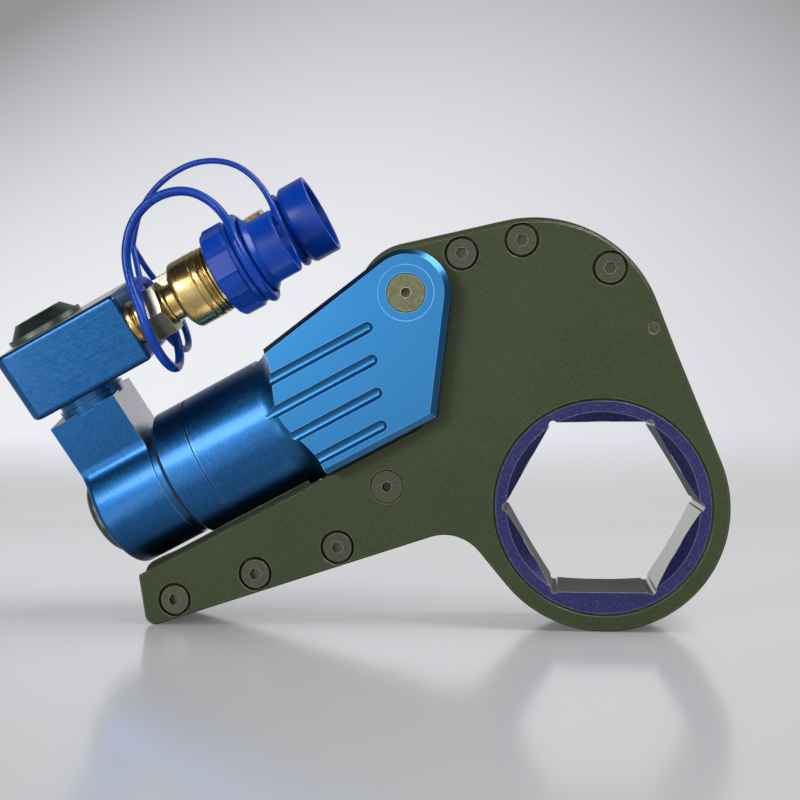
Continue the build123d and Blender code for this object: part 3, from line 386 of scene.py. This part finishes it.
def ramp(tree, value, stops):
    """Colour ramp of (position, grey or colour) stops."""
    node = add(tree, "ValToRGB")
    elements = node.color_ramp.elements
    while len(elements) < len(stops):
        elements.new(0.5)
    for element, (position, colour) in zip(elements, stops):
        element.position = position
        element.color = (*colour, 1) if isinstance(colour, tuple) else (colour, colour, colour, 1)
    tree.links.new(value, node.inputs["Fac"])
    return node.outputs["Color"]


def mix(tree, factor, first, second, blend="MIX"):
    """Mix two colours; each may be a socket or a colour."""
    node = add(tree, "Mix", data_type="RGBA", blend_type=blend)
    for socket, value in ((node.inputs[0], factor), (node.inputs[6], first), (node.inputs[7], second)):
        if isinstance(value, bpy.types.NodeSocket):
            tree.links.new(value, socket)
        elif isinstance(value, (int, float)):
            socket.default_value = value
        else:
            socket.default_value = (*value, 1)
    return node.outputs[2]


def math(tree, operation, first, second=0.0, third=0.0):
    """Math node of sockets or numbers."""
    node = add(tree, "Math", operation=operation)
    for socket, value in zip(node.inputs, (first, second, third)):
        if isinstance(value, bpy.types.NodeSocket):
            tree.links.new(value, socket)
        else:
            socket.default_value = value
    return node.outputs[0]


def spread(tree, value, low, high, new_low, new_high):
    """Map a value from one range to another, with a soft start and end."""
    node = add(tree, "MapRange", interpolation_type="SMOOTHSTEP")
    for socket, number in zip(node.inputs[1:5], (low, high, new_low, new_high)):
        socket.default_value = number
    tree.links.new(value, node.inputs[0])
    return node.outputs[0]


def two_tone(tree, value, dark, light):
    """Colour that goes softly from dark to light with a noise value."""
    return mix(tree, spread(tree, value, 0.3, 0.7, 0.0, 1.0), dark, light)


def bump(tree, shader, height, strength, distance):
    """Bump from a height value, on top of any earlier bump."""
    node = add(tree, "Bump")
    node.inputs["Strength"].default_value = strength
    node.inputs["Distance"].default_value = distance
    tree.links.new(height, node.inputs["Height"])
    if shader.inputs["Normal"].is_linked:
        tree.links.new(shader.inputs["Normal"].links[0].from_socket, node.inputs["Normal"])
    tree.links.new(node.outputs["Normal"], shader.inputs["Normal"])


def facing(tree, direction):
    """How far the surface faces a direction, in the object's own space."""
    source = add(tree, "TexCoord")
    dot = add(tree, "VectorMath", operation="DOT_PRODUCT")
    dot.inputs[1].default_value = direction
    tree.links.new(source.outputs["Normal"], dot.inputs[0])
    return dot.outputs["Value"]


def worn_edges(tree, radius):
    """Mask of the sharp edges: 1 on an edge, 0 a little way from it."""
    soft = add(tree, "Bevel", samples=6)
    soft.inputs["Radius"].default_value = radius * MM
    plain = add(tree, "NewGeometry")
    dot = add(tree, "VectorMath", operation="DOT_PRODUCT")
    tree.links.new(soft.outputs["Normal"], dot.inputs[0])
    tree.links.new(plain.outputs["Normal"], dot.inputs[1])
    return spread(tree, dot.outputs["Value"], 0.90, 0.995, 1.0, 0.0)


def speckle(tree, vector, scale, limit):
    """Mask of sparse fine grains."""
    node = add(tree, "TexVoronoi", feature="F1")
    node.inputs["Scale"].default_value = scale
    tree.links.new(vector, node.inputs["Vector"])
    value = add(tree, "SeparateColor")
    tree.links.new(node.outputs["Color"], value.inputs["Color"])
    chosen = math(tree, "GREATER_THAN", value.outputs[0], limit)
    near = math(tree, "LESS_THAN", node.outputs["Distance"], 0.32)
    return math(tree, "MULTIPLY", chosen, near)


def coated_plate(name="coated_plate", shade=1.0):
    """Dark olive coating with mottling, fine specks and worn edges; the worn edges facing up get a painted
    highlight, and the shade factor darkens the whole coating as painted shade.
    """
    material, tree, shader = start_material(name, 0.10, 0.50)
    shader.inputs["Specular IOR Level"].default_value = 0.24
    space = coordinates(tree)
    cloud = noise(tree, space, 26, 3, 0.6)
    grain = noise(tree, space, 2400, 2, 0.6)
    base = two_tone(tree, cloud, (0.030, 0.043, 0.013), (0.041, 0.056, 0.020))
    base = mix(tree, spread(tree, grain, 0.35, 0.75, 0.0, 0.6), base, (0.072, 0.086, 0.042))
    # Multiply by the shade factor: painted shade, used to darken the spacer between the plates
    base = mix(tree, 1.0, base, (shade, shade, shade), "MULTIPLY")
    specks = speckle(tree, space, 2300, 0.975)
    base = mix(tree, math(tree, "MULTIPLY", specks, 0.35), base, (0.30, 0.31, 0.22))
    wear = spread(tree, noise(tree, space, 160, 3, 0.6), 0.25, 0.65, 0.25, 0.95)
    edge = math(tree, "MULTIPLY", worn_edges(tree, 0.35), wear)
    # Worn edges are painted lighter where they face up and darker where they face away: a painted highlight on the
    # wear
    worn_edge_highlight = mix(tree, spread(tree, facing(tree, lit_edge_dir), -0.1, 0.6, 0.0, 1.0), (0.30, 0.27, 0.19),
                 (0.86, 0.80, 0.66))
    base = mix(tree, edge, base, worn_edge_highlight)
    tree.links.new(base, shader.inputs["Base Color"])
    tree.links.new(math(tree, "MAXIMUM", edge, 0.10), shader.inputs["Metallic"])
    tree.links.new(spread(tree, cloud, 0.2, 0.8, 0.44, 0.54), shader.inputs["Roughness"])
    bump(tree, shader, grain, 0.16, 0.00006)
    return material


def coated_ring():
    """Violet-blue coating with specks; the hexagon's walls are bare ground steel, with painted light and shade by
    the way each wall faces.
    """
    material, tree, shader = start_material("coated_ring", 0.55, 0.38)
    shader.inputs["Specular IOR Level"].default_value = 0.25
    space = coordinates(tree)
    cloud = noise(tree, space, 40, 3, 0.6)
    grain = noise(tree, space, 1700, 2, 0.6)
    base = two_tone(tree, cloud, (0.014, 0.018, 0.085), (0.026, 0.026, 0.110))
    base = mix(tree, spread(tree, grain, 0.4, 0.75, 0.0, 0.6), base, (0.060, 0.066, 0.20))
    specks = speckle(tree, space, 2100, 0.965)
    base = mix(tree, math(tree, "MULTIPLY", specks, 0.5), base, (0.36, 0.38, 0.60))
    split = add(tree, "SeparateXYZ")
    tree.links.new(space, split.inputs[0])
    reach = math(tree, "SQRT", math(tree, "ADD", math(tree, "POWER", split.outputs[0], 2.0),
                                    math(tree, "POWER", split.outputs[2], 2.0)))
    inside = math(tree, "LESS_THAN", reach, wall_reach * MM)
    wall = math(tree, "LESS_THAN", math(tree, "ABSOLUTE", facing(tree, (0, 1, 0))), 0.25)
    bare = math(tree, "MULTIPLY", inside, wall)
    streaks = noise(tree, coordinates(tree, (60, 1400, 60)), 1, 2, 0.6)
    # Painted light and shade on the hexagon's walls: the wall facing up and to the left gets a painted highlight
    # as well as a polish, and the other walls are painted darker or lighter by the way they face
    polish_and_highlight = spread(tree, facing(tree, lit_wall_dir), 0.70, 0.95, 0.0, 1.0)
    steel_light_and_shade = mix(tree, spread(tree, facing(tree, lit_wall_dir), -0.5, 0.4, 0.0, 1.0), (0.13, 0.12, 0.12),
               (0.035, 0.035, 0.032))
    steel = mix(tree, polish_and_highlight, steel_light_and_shade, (0.50, 0.50, 0.45))
    steel = mix(tree, spread(tree, streaks, 0.3, 0.7, 0.0, 0.25), steel, (0.18, 0.18, 0.17))
    base = mix(tree, bare, base, steel)
    base = mix(tree, math(tree, "MULTIPLY", worn_edges(tree, 0.3), 0.8), base, (0.62, 0.62, 0.66))
    tree.links.new(base, shader.inputs["Base Color"])
    shine = math(tree, "MULTIPLY", bare, polish_and_highlight)
    tree.links.new(spread(tree, shine, 0.0, 1.0, 0.50, 1.0), shader.inputs["Metallic"])
    dullness = spread(tree, bare, 0.0, 1.0, 0.40, 0.55)
    tree.links.new(math(tree, "MULTIPLY_ADD", shine, -0.22, dullness), shader.inputs["Roughness"])
    bump(tree, shader, grain, 0.12, 0.00006)
    return material


def anodised(name, streaks, bare_face=None, blasted_from=None):
    """Blue anodised aluminium with machined streaks and painted shade underneath.

    One face may be bare metal; from blasted_from on, along the drive, the surface is blasted.
    """
    material, tree, shader = start_material(name, 1.0, 0.26)
    shader.inputs["Coat Weight"].default_value = 0.32
    shader.inputs["Coat Roughness"].default_value = 0.16
    shader.inputs["Coat IOR"].default_value = 1.5
    space = coordinates(tree, turn=drive_angle)
    streak = noise(tree, coordinates(tree, streaks, drive_angle), 1, 2, 0.7)
    wide = noise(tree, coordinates(tree, tuple(value / 5 for value in streaks), drive_angle), 1, 2, 0.5)
    grain = streak
    if blasted_from is not None:
        split = add(tree, "SeparateXYZ")
        tree.links.new(space, split.inputs[0])
        on_cheek = spread(tree, split.outputs[0], blasted_from * MM, (blasted_from + 3) * MM, 0.0, 1.0)
        picked = add(tree, "Mix", data_type="FLOAT")
        tree.links.new(on_cheek, picked.inputs[0])
        tree.links.new(streak, picked.inputs[2])
        tree.links.new(noise(tree, space, 2600, 2, 0.7), picked.inputs[3])
        grain = picked.outputs[0]
    base = mix(tree, spread(tree, wide, 0.2, 0.8, 0.0, 1.0), (0.002, 0.086, 0.28), (0.004, 0.100, 0.33))
    base = mix(tree, spread(tree, grain, 0.30, 0.75, 0.0, 0.38), base, (0.080, 0.26, 0.50))
    if blasted_from is not None:
        base = mix(tree, math(tree, "MULTIPLY", on_cheek, 0.85), base, (0.013, 0.135, 0.32))
    # Painted shade: faces turned downwards are darkened towards a deep blue
    underside_shade = spread(tree, facing(tree, shade_dir), 0.40, 0.95, 0.0, 0.80)
    base = mix(tree, underside_shade, base, (0.001, 0.026, 0.075))
    edge = math(tree, "MULTIPLY", worn_edges(tree, 0.35), 0.75)
    base = mix(tree, edge, base, (0.22, 0.55, 0.82))
    if bare_face is not None:
        bare = spread(tree, facing(tree, bare_face), 0.965, 0.992, 0.0, 1.0)
        metal = two_tone(tree, streak, (0.58, 0.58, 0.60), (0.74, 0.74, 0.75))
        base = mix(tree, bare, base, metal)
    tree.links.new(base, shader.inputs["Base Color"])
    tree.links.new(spread(tree, grain, 0.2, 0.8, 0.32, 0.42), shader.inputs["Roughness"])
    bump(tree, shader, grain, 0.10, 0.00001)
    return material


def turned_metal(name, dark, light, axis_turn, rough=(0.16, 0.30), depth=0.00005, fine=5200):
    """Turned or plated metal with fine rings about its axis."""
    material, tree, shader = start_material(name, 1.0, rough[0])
    streak = noise(tree, coordinates(tree, (fine, 60, 60), axis_turn), 1, 2, 0.6)
    cloud = noise(tree, coordinates(tree), 160, 3, 0.6)
    base = two_tone(tree, cloud, dark, light)
    tree.links.new(base, shader.inputs["Base Color"])
    tree.links.new(spread(tree, streak, 0.2, 0.8, rough[0], rough[1]), shader.inputs["Roughness"])
    bump(tree, shader, streak, 0.14, depth)
    return material


def plated(name, dark, light, edge, rough=(0.28, 0.42), metallic=0.9, scale=700, painted_shade=0.0):
    """Plated or coated steel with a fine grain and lighter broken edges, and painted shade on the underside as
    strong as the last argument.
    """
    material, tree, shader = start_material(name, metallic, rough[0])
    space = coordinates(tree)
    grain = noise(tree, space, scale, 3, 0.65)
    base = two_tone(tree, grain, dark, light)
    # Painted shade: faces turned downwards are darkened towards near black
    if painted_shade:
        underside_shade = spread(tree, facing(tree, shade_dir), 0.35, 0.75, 0.0, painted_shade)
        base = mix(tree, underside_shade, base, (0.02, 0.02, 0.015))
    base = mix(tree, math(tree, "MULTIPLY", worn_edges(tree, 0.3), 0.85), base, edge)
    tree.links.new(base, shader.inputs["Base Color"])
    tree.links.new(spread(tree, grain, 0.2, 0.8, rough[0], rough[1]), shader.inputs["Roughness"])
    bump(tree, shader, grain, 0.12, 0.00005)
    return material


def moulded_plastic():
    """Royal-blue moulded plastic with a faint grain and scuffs."""
    material, tree, shader = start_material("moulded_plastic", 0.0, 0.36)
    shader.inputs["Specular IOR Level"].default_value = 0.32
    space = coordinates(tree)
    cloud = noise(tree, space, 70, 3, 0.6)
    grain = noise(tree, space, 1500, 2, 0.6)
    base = two_tone(tree, cloud, (0.0008, 0.040, 0.33), (0.0014, 0.056, 0.42))
    specks = speckle(tree, space, 1400, 0.985)
    base = mix(tree, math(tree, "MULTIPLY", specks, 0.25), base, (0.10, 0.20, 0.62))
    tree.links.new(base, shader.inputs["Base Color"])
    tree.links.new(spread(tree, cloud, 0.2, 0.8, 0.24, 0.36), shader.inputs["Roughness"])
    bump(tree, shader, grain, 0.10, 0.00005)
    return material


def seal_rubber():
    """Black rubber of the seals."""
    material, tree, shader = start_material("seal_rubber", 0.0, 0.55)
    grain = noise(tree, coordinates(tree), 900, 2, 0.6)
    base = mix(tree, grain, (0.008, 0.008, 0.008), (0.022, 0.022, 0.022))
    tree.links.new(base, shader.inputs["Base Color"])
    bump(tree, shader, grain, 0.1, 0.00005)
    return material


round_streaks = (4200, 520, 520)
long_streaks = (420, 2600, 2600)
finishes = {
    "plate_finish": coated_plate(),
    "ratchet_finish": coated_ring(),
    "screw_finish": plated("coated_screw", (0.034, 0.038, 0.024), (0.062, 0.066, 0.042), (0.40, 0.36, 0.26),
                           metallic=0.6, scale=1200),
    "pin_finish": plated("plated_pin", (0.080, 0.085, 0.046), (0.135, 0.138, 0.080), (0.80, 0.74, 0.54)),
    "bright_steel": turned_metal("ground_steel", (0.42, 0.42, 0.43), (0.60, 0.60, 0.60), drive_angle),
    "hardened_steel": turned_metal("hardened_steel", (0.13, 0.13, 0.14), (0.26, 0.26, 0.27), 0.0,
                                   rough=(0.28, 0.42), fine=1500),
    "spring_steel": turned_metal("spring_steel", (0.24, 0.24, 0.25), (0.36, 0.36, 0.37), 0.0, fine=900),
    "blue_anodised": anodised("anodised_head", round_streaks, blasted_from=cheek_start),
    "cap_finish": turned_metal("olive_cap", (0.10, 0.125, 0.105), (0.17, 0.20, 0.17), drive_angle,
                               rough=(0.24, 0.38)),
    "black_seal": seal_rubber(),
    "gland_bronze": turned_metal("gland_bronze", (0.30, 0.17, 0.07), (0.42, 0.26, 0.11), drive_angle),
    "coupler_brass": turned_metal("coupler_brass", (0.42, 0.29, 0.10), (0.62, 0.47, 0.20), drive_angle,
                                  rough=(0.17, 0.30), depth=0.00002),
    # The nut gets painted shade on its downward faces
    "nut_finish": plated("plated_nut", (0.40, 0.39, 0.29), (0.64, 0.62, 0.48), (0.95, 0.92, 0.80),
                         rough=(0.26, 0.40), metallic=1.0, scale=1400, painted_shade=0.75),
    "blue_plastic": moulded_plastic(),
}
swivel_blue = anodised("anodised_swivel", round_streaks, bare_face=drive_dir)
manifold_blue = anodised("anodised_manifold", long_streaks, bare_face=post_dir)
slots = {entry["node"]: entry["material_slot"] for entry in frame["record"]["subparts"]}
for node_name, part in parts.items():
    part.data.materials.clear()
    part.data.materials.append(finishes[slots[node_name]])
# The spacer between the plates is darkened to 0.35 as painted shade
parts["arm_spacer"].data.materials[0] = coated_plate("spacer_painted_shade", 0.35)
parts["swivel_block"].data.materials[0] = swivel_blue
parts["manifold_block"].data.materials[0] = manifold_blue


# Couplers, cap and plug

def brass_adapter(name, side):
    """Adapter with a double washer and a collar behind the nut."""
    profile = rounded_profile(
        [(bore, -stem_depth), (port_radius, -stem_depth), (port_radius, 0), (washer_radius, 0),
         (washer_radius, gap_start), (washer_radius - gap_depth, gap_start + gap_slope),
         (washer_radius - gap_depth, gap_end - gap_slope), (washer_radius, gap_end),
         (washer_radius, washer_length), (stem_radius, washer_length), (stem_radius, nut_end),
         (collar_radius, nut_end), (collar_radius, collar_end),
         (collar_radius - collar_step, collar_end + collar_slope),
         (collar_radius - collar_step, neck_end), (bore, neck_end)], brass_edge)
    bm = lathe(profile, coupler_place(side), drive_dir, side_dir, 72)
    piece = finish_mesh(name, bm, finishes["coupler_brass"])
    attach(piece, "manifold")
    return piece


def front_body():
    """Front coupler body with a shouldered barrel, end rings and a threaded nose."""
    shoulder = [(front_radius - depth, neck_end + past) for depth, past in front_shoulder]
    rings = [(front_radius - depth, front_end - back) for back, depth in front_rings]
    thread = [(nose_radius, front_end)]
    for k in range(thread_turns):
        crest = front_end + thread_start + thread_pitch * k
        thread += [(nose_radius, crest), (nose_radius - thread_depth, crest + thread_pitch * 0.5)]
    mouth = [(nose_radius - nose_wall, nose_end), (nose_bore, nose_end),
             (nose_bore, front_end - nose_depth), (bore, front_end - nose_depth)]
    profile = rounded_profile([(bore, neck_end)] + shoulder + rings + thread + mouth, barrel_edge)
    bm = lathe(profile, coupler_place(-1), drive_dir, side_dir, 96)
    piece = finish_mesh("front_coupler_body", bm, finishes["coupler_brass"])
    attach(piece, "manifold")
    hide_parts("front_coupler")


def dust_cap_piece():
    """Dust cap: skirt with raised pads, seat of the tether ring and a smooth hollow grip."""
    pitch = 360 / skirt_pads
    gap_half = radians(pitch - pad_span) / 2

    def pads(radius, along, turn):
        if radius < skirt_root + 0.01 or along > pad_end + 0.05:
            return radius
        place = (turn * 180 / pi - pad_start) % pitch
        rise = min(1.0, max(0.0, min(place, pad_span - place) / pad_slope))
        off_middle = radians((place - pad_span) % pitch) - gap_half
        valley = skirt_root * cos(gap_half) / cos(off_middle) if rise == 0 else skirt_root
        return valley + (radius - valley) * rise

    bottom = cap_end - cap_hollow_depth
    points = [(0, cap_floor), (cap_inner, cap_floor), (cap_inner, cap_start),
              (skirt_radius - 1.2, cap_start), (skirt_radius, cap_start + 1.2), (skirt_radius, pad_end),
              (skirt_root, pad_end + 0.3), (skirt_root, skirt_end), (cap_neck, skirt_end + 0.2),
              (cap_neck, cap_ring_end), (cap_neck + 0.7, cap_ring_end + 0.5),
              (cap_neck + 0.3, cap_grip_start - 1.2), (cap_grip, cap_grip_start + 0.4),
              (cap_grip, cap_end), (cap_hollow, cap_end), (cap_hollow - 0.3, bottom), (0, bottom)]
    profile = rounded_profile(points, plastic_edge)
    bm = lathe(profile, coupler_place(-1), drive_dir, side_dir, 360, pads)
    piece = finish_mesh("dust_cap_moulding", bm, finishes["blue_plastic"], 40)
    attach(piece, "dust_cap")
    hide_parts("dust_cap")


def dust_plug_piece():
    """Dust plug: stem, seat of the tether ring and thin-walled cup."""
    inner = cup_radius - cup_wall
    points = [(0, plug_start), (plug_stem - 1, plug_start), (plug_stem, plug_start + 1),
              (plug_stem, plug_flange), (plug_neck, plug_flange + 0.1), (plug_neck, plug_ring_start - 0.6),
              (plug_seat, plug_ring_start), (plug_seat, cup_start), (cup_radius - 1.3, cup_start),
              (cup_radius, cup_start + 1.5), (cup_radius, cup_end), (inner, cup_end), (inner, cup_floor),
              (0, cup_floor)]
    bm = lathe(rounded_profile(points, plastic_edge), coupler_place(1), drive_dir, side_dir, 144)
    piece = finish_mesh("dust_plug_moulding", bm, finishes["blue_plastic"], 40)
    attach(piece, "dust_plug")
    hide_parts("dust_plug")


def add_strap(bm, points, radius):
    """Strap through the points, in millimetres at the swivel, a little flat in its own plane."""
    centres = [at_swivel(*p) for p in spline(points)]
    add_tube(bm, centres, [radius * MM] * len(centres), flat=strap_flat, flat_dir=drive_dir)


def add_ring(bm, centre, radius, thick, lean=0.0):
    """Ring of a tether about the drive direction, leaned back by some degrees."""
    leaned = (post_dir * cos(radians(lean)) + drive_dir * sin(radians(lean))).normalized()
    ring = circle_points(centre, radius * MM, side_dir, leaned)
    add_tube(bm, ring, [thick * MM] * len(ring), closed=True)


def finish_tether(name, bm, node):
    """One skin of a tether's loops and strap, stretched between the manifold and the cap."""
    piece = finish_mesh(name, bm, finishes["blue_plastic"])
    moulded(piece, tether_voxel * MM, tether_rounds)
    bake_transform(piece)
    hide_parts(node)


def cap_tether():
    """Front tether: round loop under the nut, strap and ring on the cap."""
    bm = bmesh.new()
    add_strap(bm, front_strap, tether_radius + strap_extra)
    add_ring(bm, at_swivel(*front_loop), front_loop_radius, tether_radius, front_loop_lean)
    seat = coupler_place(-1) + drive_dir * (skirt_end + cap_ring_end) / 2 * MM
    add_ring(bm, seat, cap_neck + tether_radius + ring_gap, tether_radius)
    finish_tether("cap_tether_moulding", bm, "cap_tether")


def plug_tether():
    """Rear tether: loop drawn out into two legs, strap and ring on the plug."""
    bm = bmesh.new()
    add_strap(bm, rear_strap, rear_tether_radius)
    turns = [radians(rear_loop_start + rear_loop_sweep * k / rear_loop_steps)
             for k in range(rear_loop_steps + 1)]
    arc = [(rear_loop[0], rear_loop[1] + rear_loop_radius * cos(turn),
            rear_loop[2] + rear_loop_radius * sin(turn)) for turn in turns]
    path = [at_swivel(*p) for p in spline((rear_split,) + rear_front_leg + (arc[0],), 8)]
    legs = len(path)
    path += [at_swivel(*p) for p in arc[1:-1]]
    path += [at_swivel(*p) for p in spline((arc[-1],) + rear_back_leg + (rear_split,), 8)]
    radii = []
    for k in range(len(path)):
        share = min(1.0, min(k, len(path) - 1 - k) / legs)
        radii.append((leg_radius + (rear_tether_radius - leg_radius) * share) * MM)
    add_tube(bm, path, radii)
    seat = coupler_place(1) + drive_dir * (plug_ring_start + plug_ring_end) / 2 * MM
    add_ring(bm, seat, plug_seat + rear_tether_radius + ring_gap, rear_tether_radius)
    finish_tether("plug_tether_moulding", bm, "plug_tether")


def retainer_piece():
    """Bevelled retainer on the left face of the swivel."""
    inset, drop = retainer_bevel
    crown = retainer_face - retainer_height
    points = [(0, retainer_face), (retainer_radius, retainer_face),
              (retainer_radius, retainer_face - retainer_wall),
              (retainer_radius - inset, retainer_face - drop),
              (retainer_radius - retainer_crown, crown), (0, crown)]
    bm = lathe(rounded_profile(points, retainer_edge, 4), swivel_centre, drive_dir, side_dir, 96)
    piece = finish_mesh("swivel_retainer_disc", bm, finishes["cap_finish"])
    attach(piece, "link")
    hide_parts("swivel_retainer")


def swivel_seal():
    """Black seal in the groove between the swivel and the barrel."""
    bm = bmesh.new()
    centre = swivel_centre + drive_dir * seal_station * MM
    add_tube(bm, circle_points(centre, seal_radius * MM, side_dir, post_dir, 144), [seal_thick * MM] * 144,
             closed=True, sides=12)
    piece = finish_mesh("swivel_seal_ring", bm, finishes["black_seal"])
    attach(piece, "link")


front_adapter = brass_adapter("front_adapter_body", -1)
brass_adapter("rear_adapter_body", 1)
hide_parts("coupler_adapters")
front_body()
dust_cap_piece()
dust_plug_piece()
cap_tether()
plug_tether()
retainer_piece()
swivel_seal()


# Studio

# Sizes of the paper sweep in metres
floor_height = cad_box[0][2]
sweep_half = 2.6
sweep_front = -2.2
sweep_top = 2.4
cove_start = 0.30
cove_radius = 0.55
cove_steps = 24
glow_foot = 0.06
# The glow of the paper: its middle moves sideways with height, and it fades away from there
glow_level = 0.87
glow_shift = 0.42
glow_lean = -0.46
glow_narrowing = 1.1
glow_fall = -0.44
glow_middle = 0.02
glow_height_fall = -1.36
glow_least = 0.30
glow_colour = (0.985, 0.995, 1.03)
# Gloss of the paper: satin under the wrench and dull towards the lamps
paper_colour = (0.60, 0.60, 0.61, 1)
paper_ior = 2.6
satin_roughness = 0.17
dull_roughness = 0.60
satin_from = -0.25
dull_from = -0.55


def studio_paper():
    """Seamless pale sweep under and behind the wrench."""
    bm = bmesh.new()
    section = [(sweep_front, 0.0), (cove_start, 0.0)]
    for k in range(1, cove_steps + 1):
        turn = radians(90) * k / cove_steps
        section.append((cove_start + cove_radius * sin(turn), cove_radius * (1 - cos(turn))))
    section.append((cove_start + cove_radius, sweep_top))
    rows = [[bm.verts.new((x, y, floor_height + z)) for y, z in section] for x in (-sweep_half, sweep_half)]
    for j in range(len(section) - 1):
        bm.faces.new((rows[0][j], rows[1][j], rows[1][j + 1], rows[0][j + 1]))
    mesh = bpy.data.meshes.new("studio_sweep")
    for face in bm.faces:
        face.smooth = True
    bm.to_mesh(mesh)
    bm.free()
    sweep = bpy.data.objects.new("studio_sweep", mesh)
    bpy.context.scene.collection.objects.link(sweep)
    material, tree, shader = start_material("studio_paper", 0.0, satin_roughness)
    shader.inputs["Base Color"].default_value = paper_colour
    shader.inputs["IOR"].default_value = paper_ior
    split = add(tree, "SeparateXYZ")
    tree.links.new(coordinates(tree), split.inputs[0])
    across, back, height = split.outputs
    roughness = spread(tree, back, dull_from, satin_from, dull_roughness, satin_roughness)
    tree.links.new(roughness, shader.inputs["Roughness"])
    shift = math(tree, "MULTIPLY_ADD", height, glow_lean, glow_shift)
    narrowing = math(tree, "MULTIPLY_ADD", height, glow_narrowing, 1.0)
    sideways = math(tree, "MULTIPLY", math(tree, "ADD", across, shift), narrowing)
    level = math(tree, "MULTIPLY_ADD", math(tree, "MULTIPLY", sideways, sideways), glow_fall, glow_level)
    rise = math(tree, "SUBTRACT", height, glow_middle)
    level = math(tree, "MULTIPLY_ADD", math(tree, "MULTIPLY", rise, rise), glow_height_fall, level)
    level = math(tree, "MAXIMUM", level, glow_least)
    shade = mix(tree, 1.0, level, glow_colour, "MULTIPLY")
    emission = add(tree, "Emission")
    tree.links.new(shade, emission.inputs["Color"])
    path = add(tree, "LightPath")
    seen = math(tree, "MAXIMUM", path.outputs["Is Camera Ray"], path.outputs["Is Glossy Ray"])
    upper = spread(tree, height, floor_height, floor_height + glow_foot, 0.10, 1.0)
    blend = add(tree, "MixShader")
    tree.links.new(math(tree, "MULTIPLY", seen, upper), blend.inputs[0])
    tree.links.new(shader.outputs[0], blend.inputs[1])
    tree.links.new(emission.outputs[0], blend.inputs[2])
    tree.links.new(blend.outputs[0], tree.nodes["Material Output"].inputs["Surface"])
    mesh.materials.append(material)


def lamp(name, place, target, width, height, power):
    """Rectangular softbox that looks at a target."""
    data = bpy.data.lights.new(name, "AREA")
    data.shape = "RECTANGLE"
    data.size = width
    data.size_y = height
    data.energy = power
    light = bpy.data.objects.new(name, data)
    light.location = place
    light.rotation_euler = (Vector(target) - Vector(place)).to_track_quat("-Z", "Y").to_euler()
    bpy.context.scene.collection.objects.link(light)


def studio_world():
    """Soft light from all round, brighter towards the camera's side than overhead."""
    world = bpy.data.worlds.new("studio_world")
    bpy.context.scene.world = world
    world.use_nodes = True
    tree = world.node_tree
    source = add(tree, "TexCoord")
    split = add(tree, "SeparateXYZ")
    tree.links.new(source.outputs["Generated"], split.inputs[0])
    level = ramp(tree, spread(tree, split.outputs[2], -1.0, 1.0, 0.0, 1.0),
                 [(0.0, 0.10), (0.45, 0.24), (0.60, 0.22), (0.75, 0.07), (1.0, 0.05)])
    tree.links.new(level, tree.nodes["Background"].inputs["Color"])
    tree.nodes["Background"].inputs["Strength"].default_value = 1.0


studio_paper()
studio_world()
lamp("front_softbox", (0.00, -1.28, 0.20), (-0.02, 0.0, 0.03), 1.5, 0.50, 4.0)
lamp("left_key", (-0.64, -0.98, 0.34), (-0.13, -0.02, 0.03), 0.42, 0.34, 4.5)
lamp("top_softbox", (0.65, -0.15, 1.15), (0.0, 0.0, 0.0), 0.8, 0.8, 16.0)

# Camera, fitted to the photograph
camera_place = Vector((-20.32, -396.79, 38.55)) * MM
camera_right = Vector((0.99103, 0.13305, -0.01241)).normalized()
camera_up = Vector((0.01235, 0.00129, 0.99992)).normalized()
sensor_width = 36.0
focal_pixels = 1063.03
picture_pixels = 800
camera_data = bpy.data.cameras.new("camera")
camera_data.sensor_width = sensor_width
camera_data.lens = focal_pixels / picture_pixels * sensor_width
camera_data.clip_start = 0.02
camera = bpy.data.objects.new("camera", camera_data)
camera_back = camera_right.cross(camera_up).normalized()
camera_up = camera_back.cross(camera_right)
pose = Matrix((camera_right, camera_up, camera_back)).transposed().to_4x4()
pose.translation = camera_place
camera.matrix_world = pose
bpy.context.scene.collection.objects.link(camera)
bpy.context.scene.camera = camera
bpy.context.scene.view_settings.view_transform = "Standard"
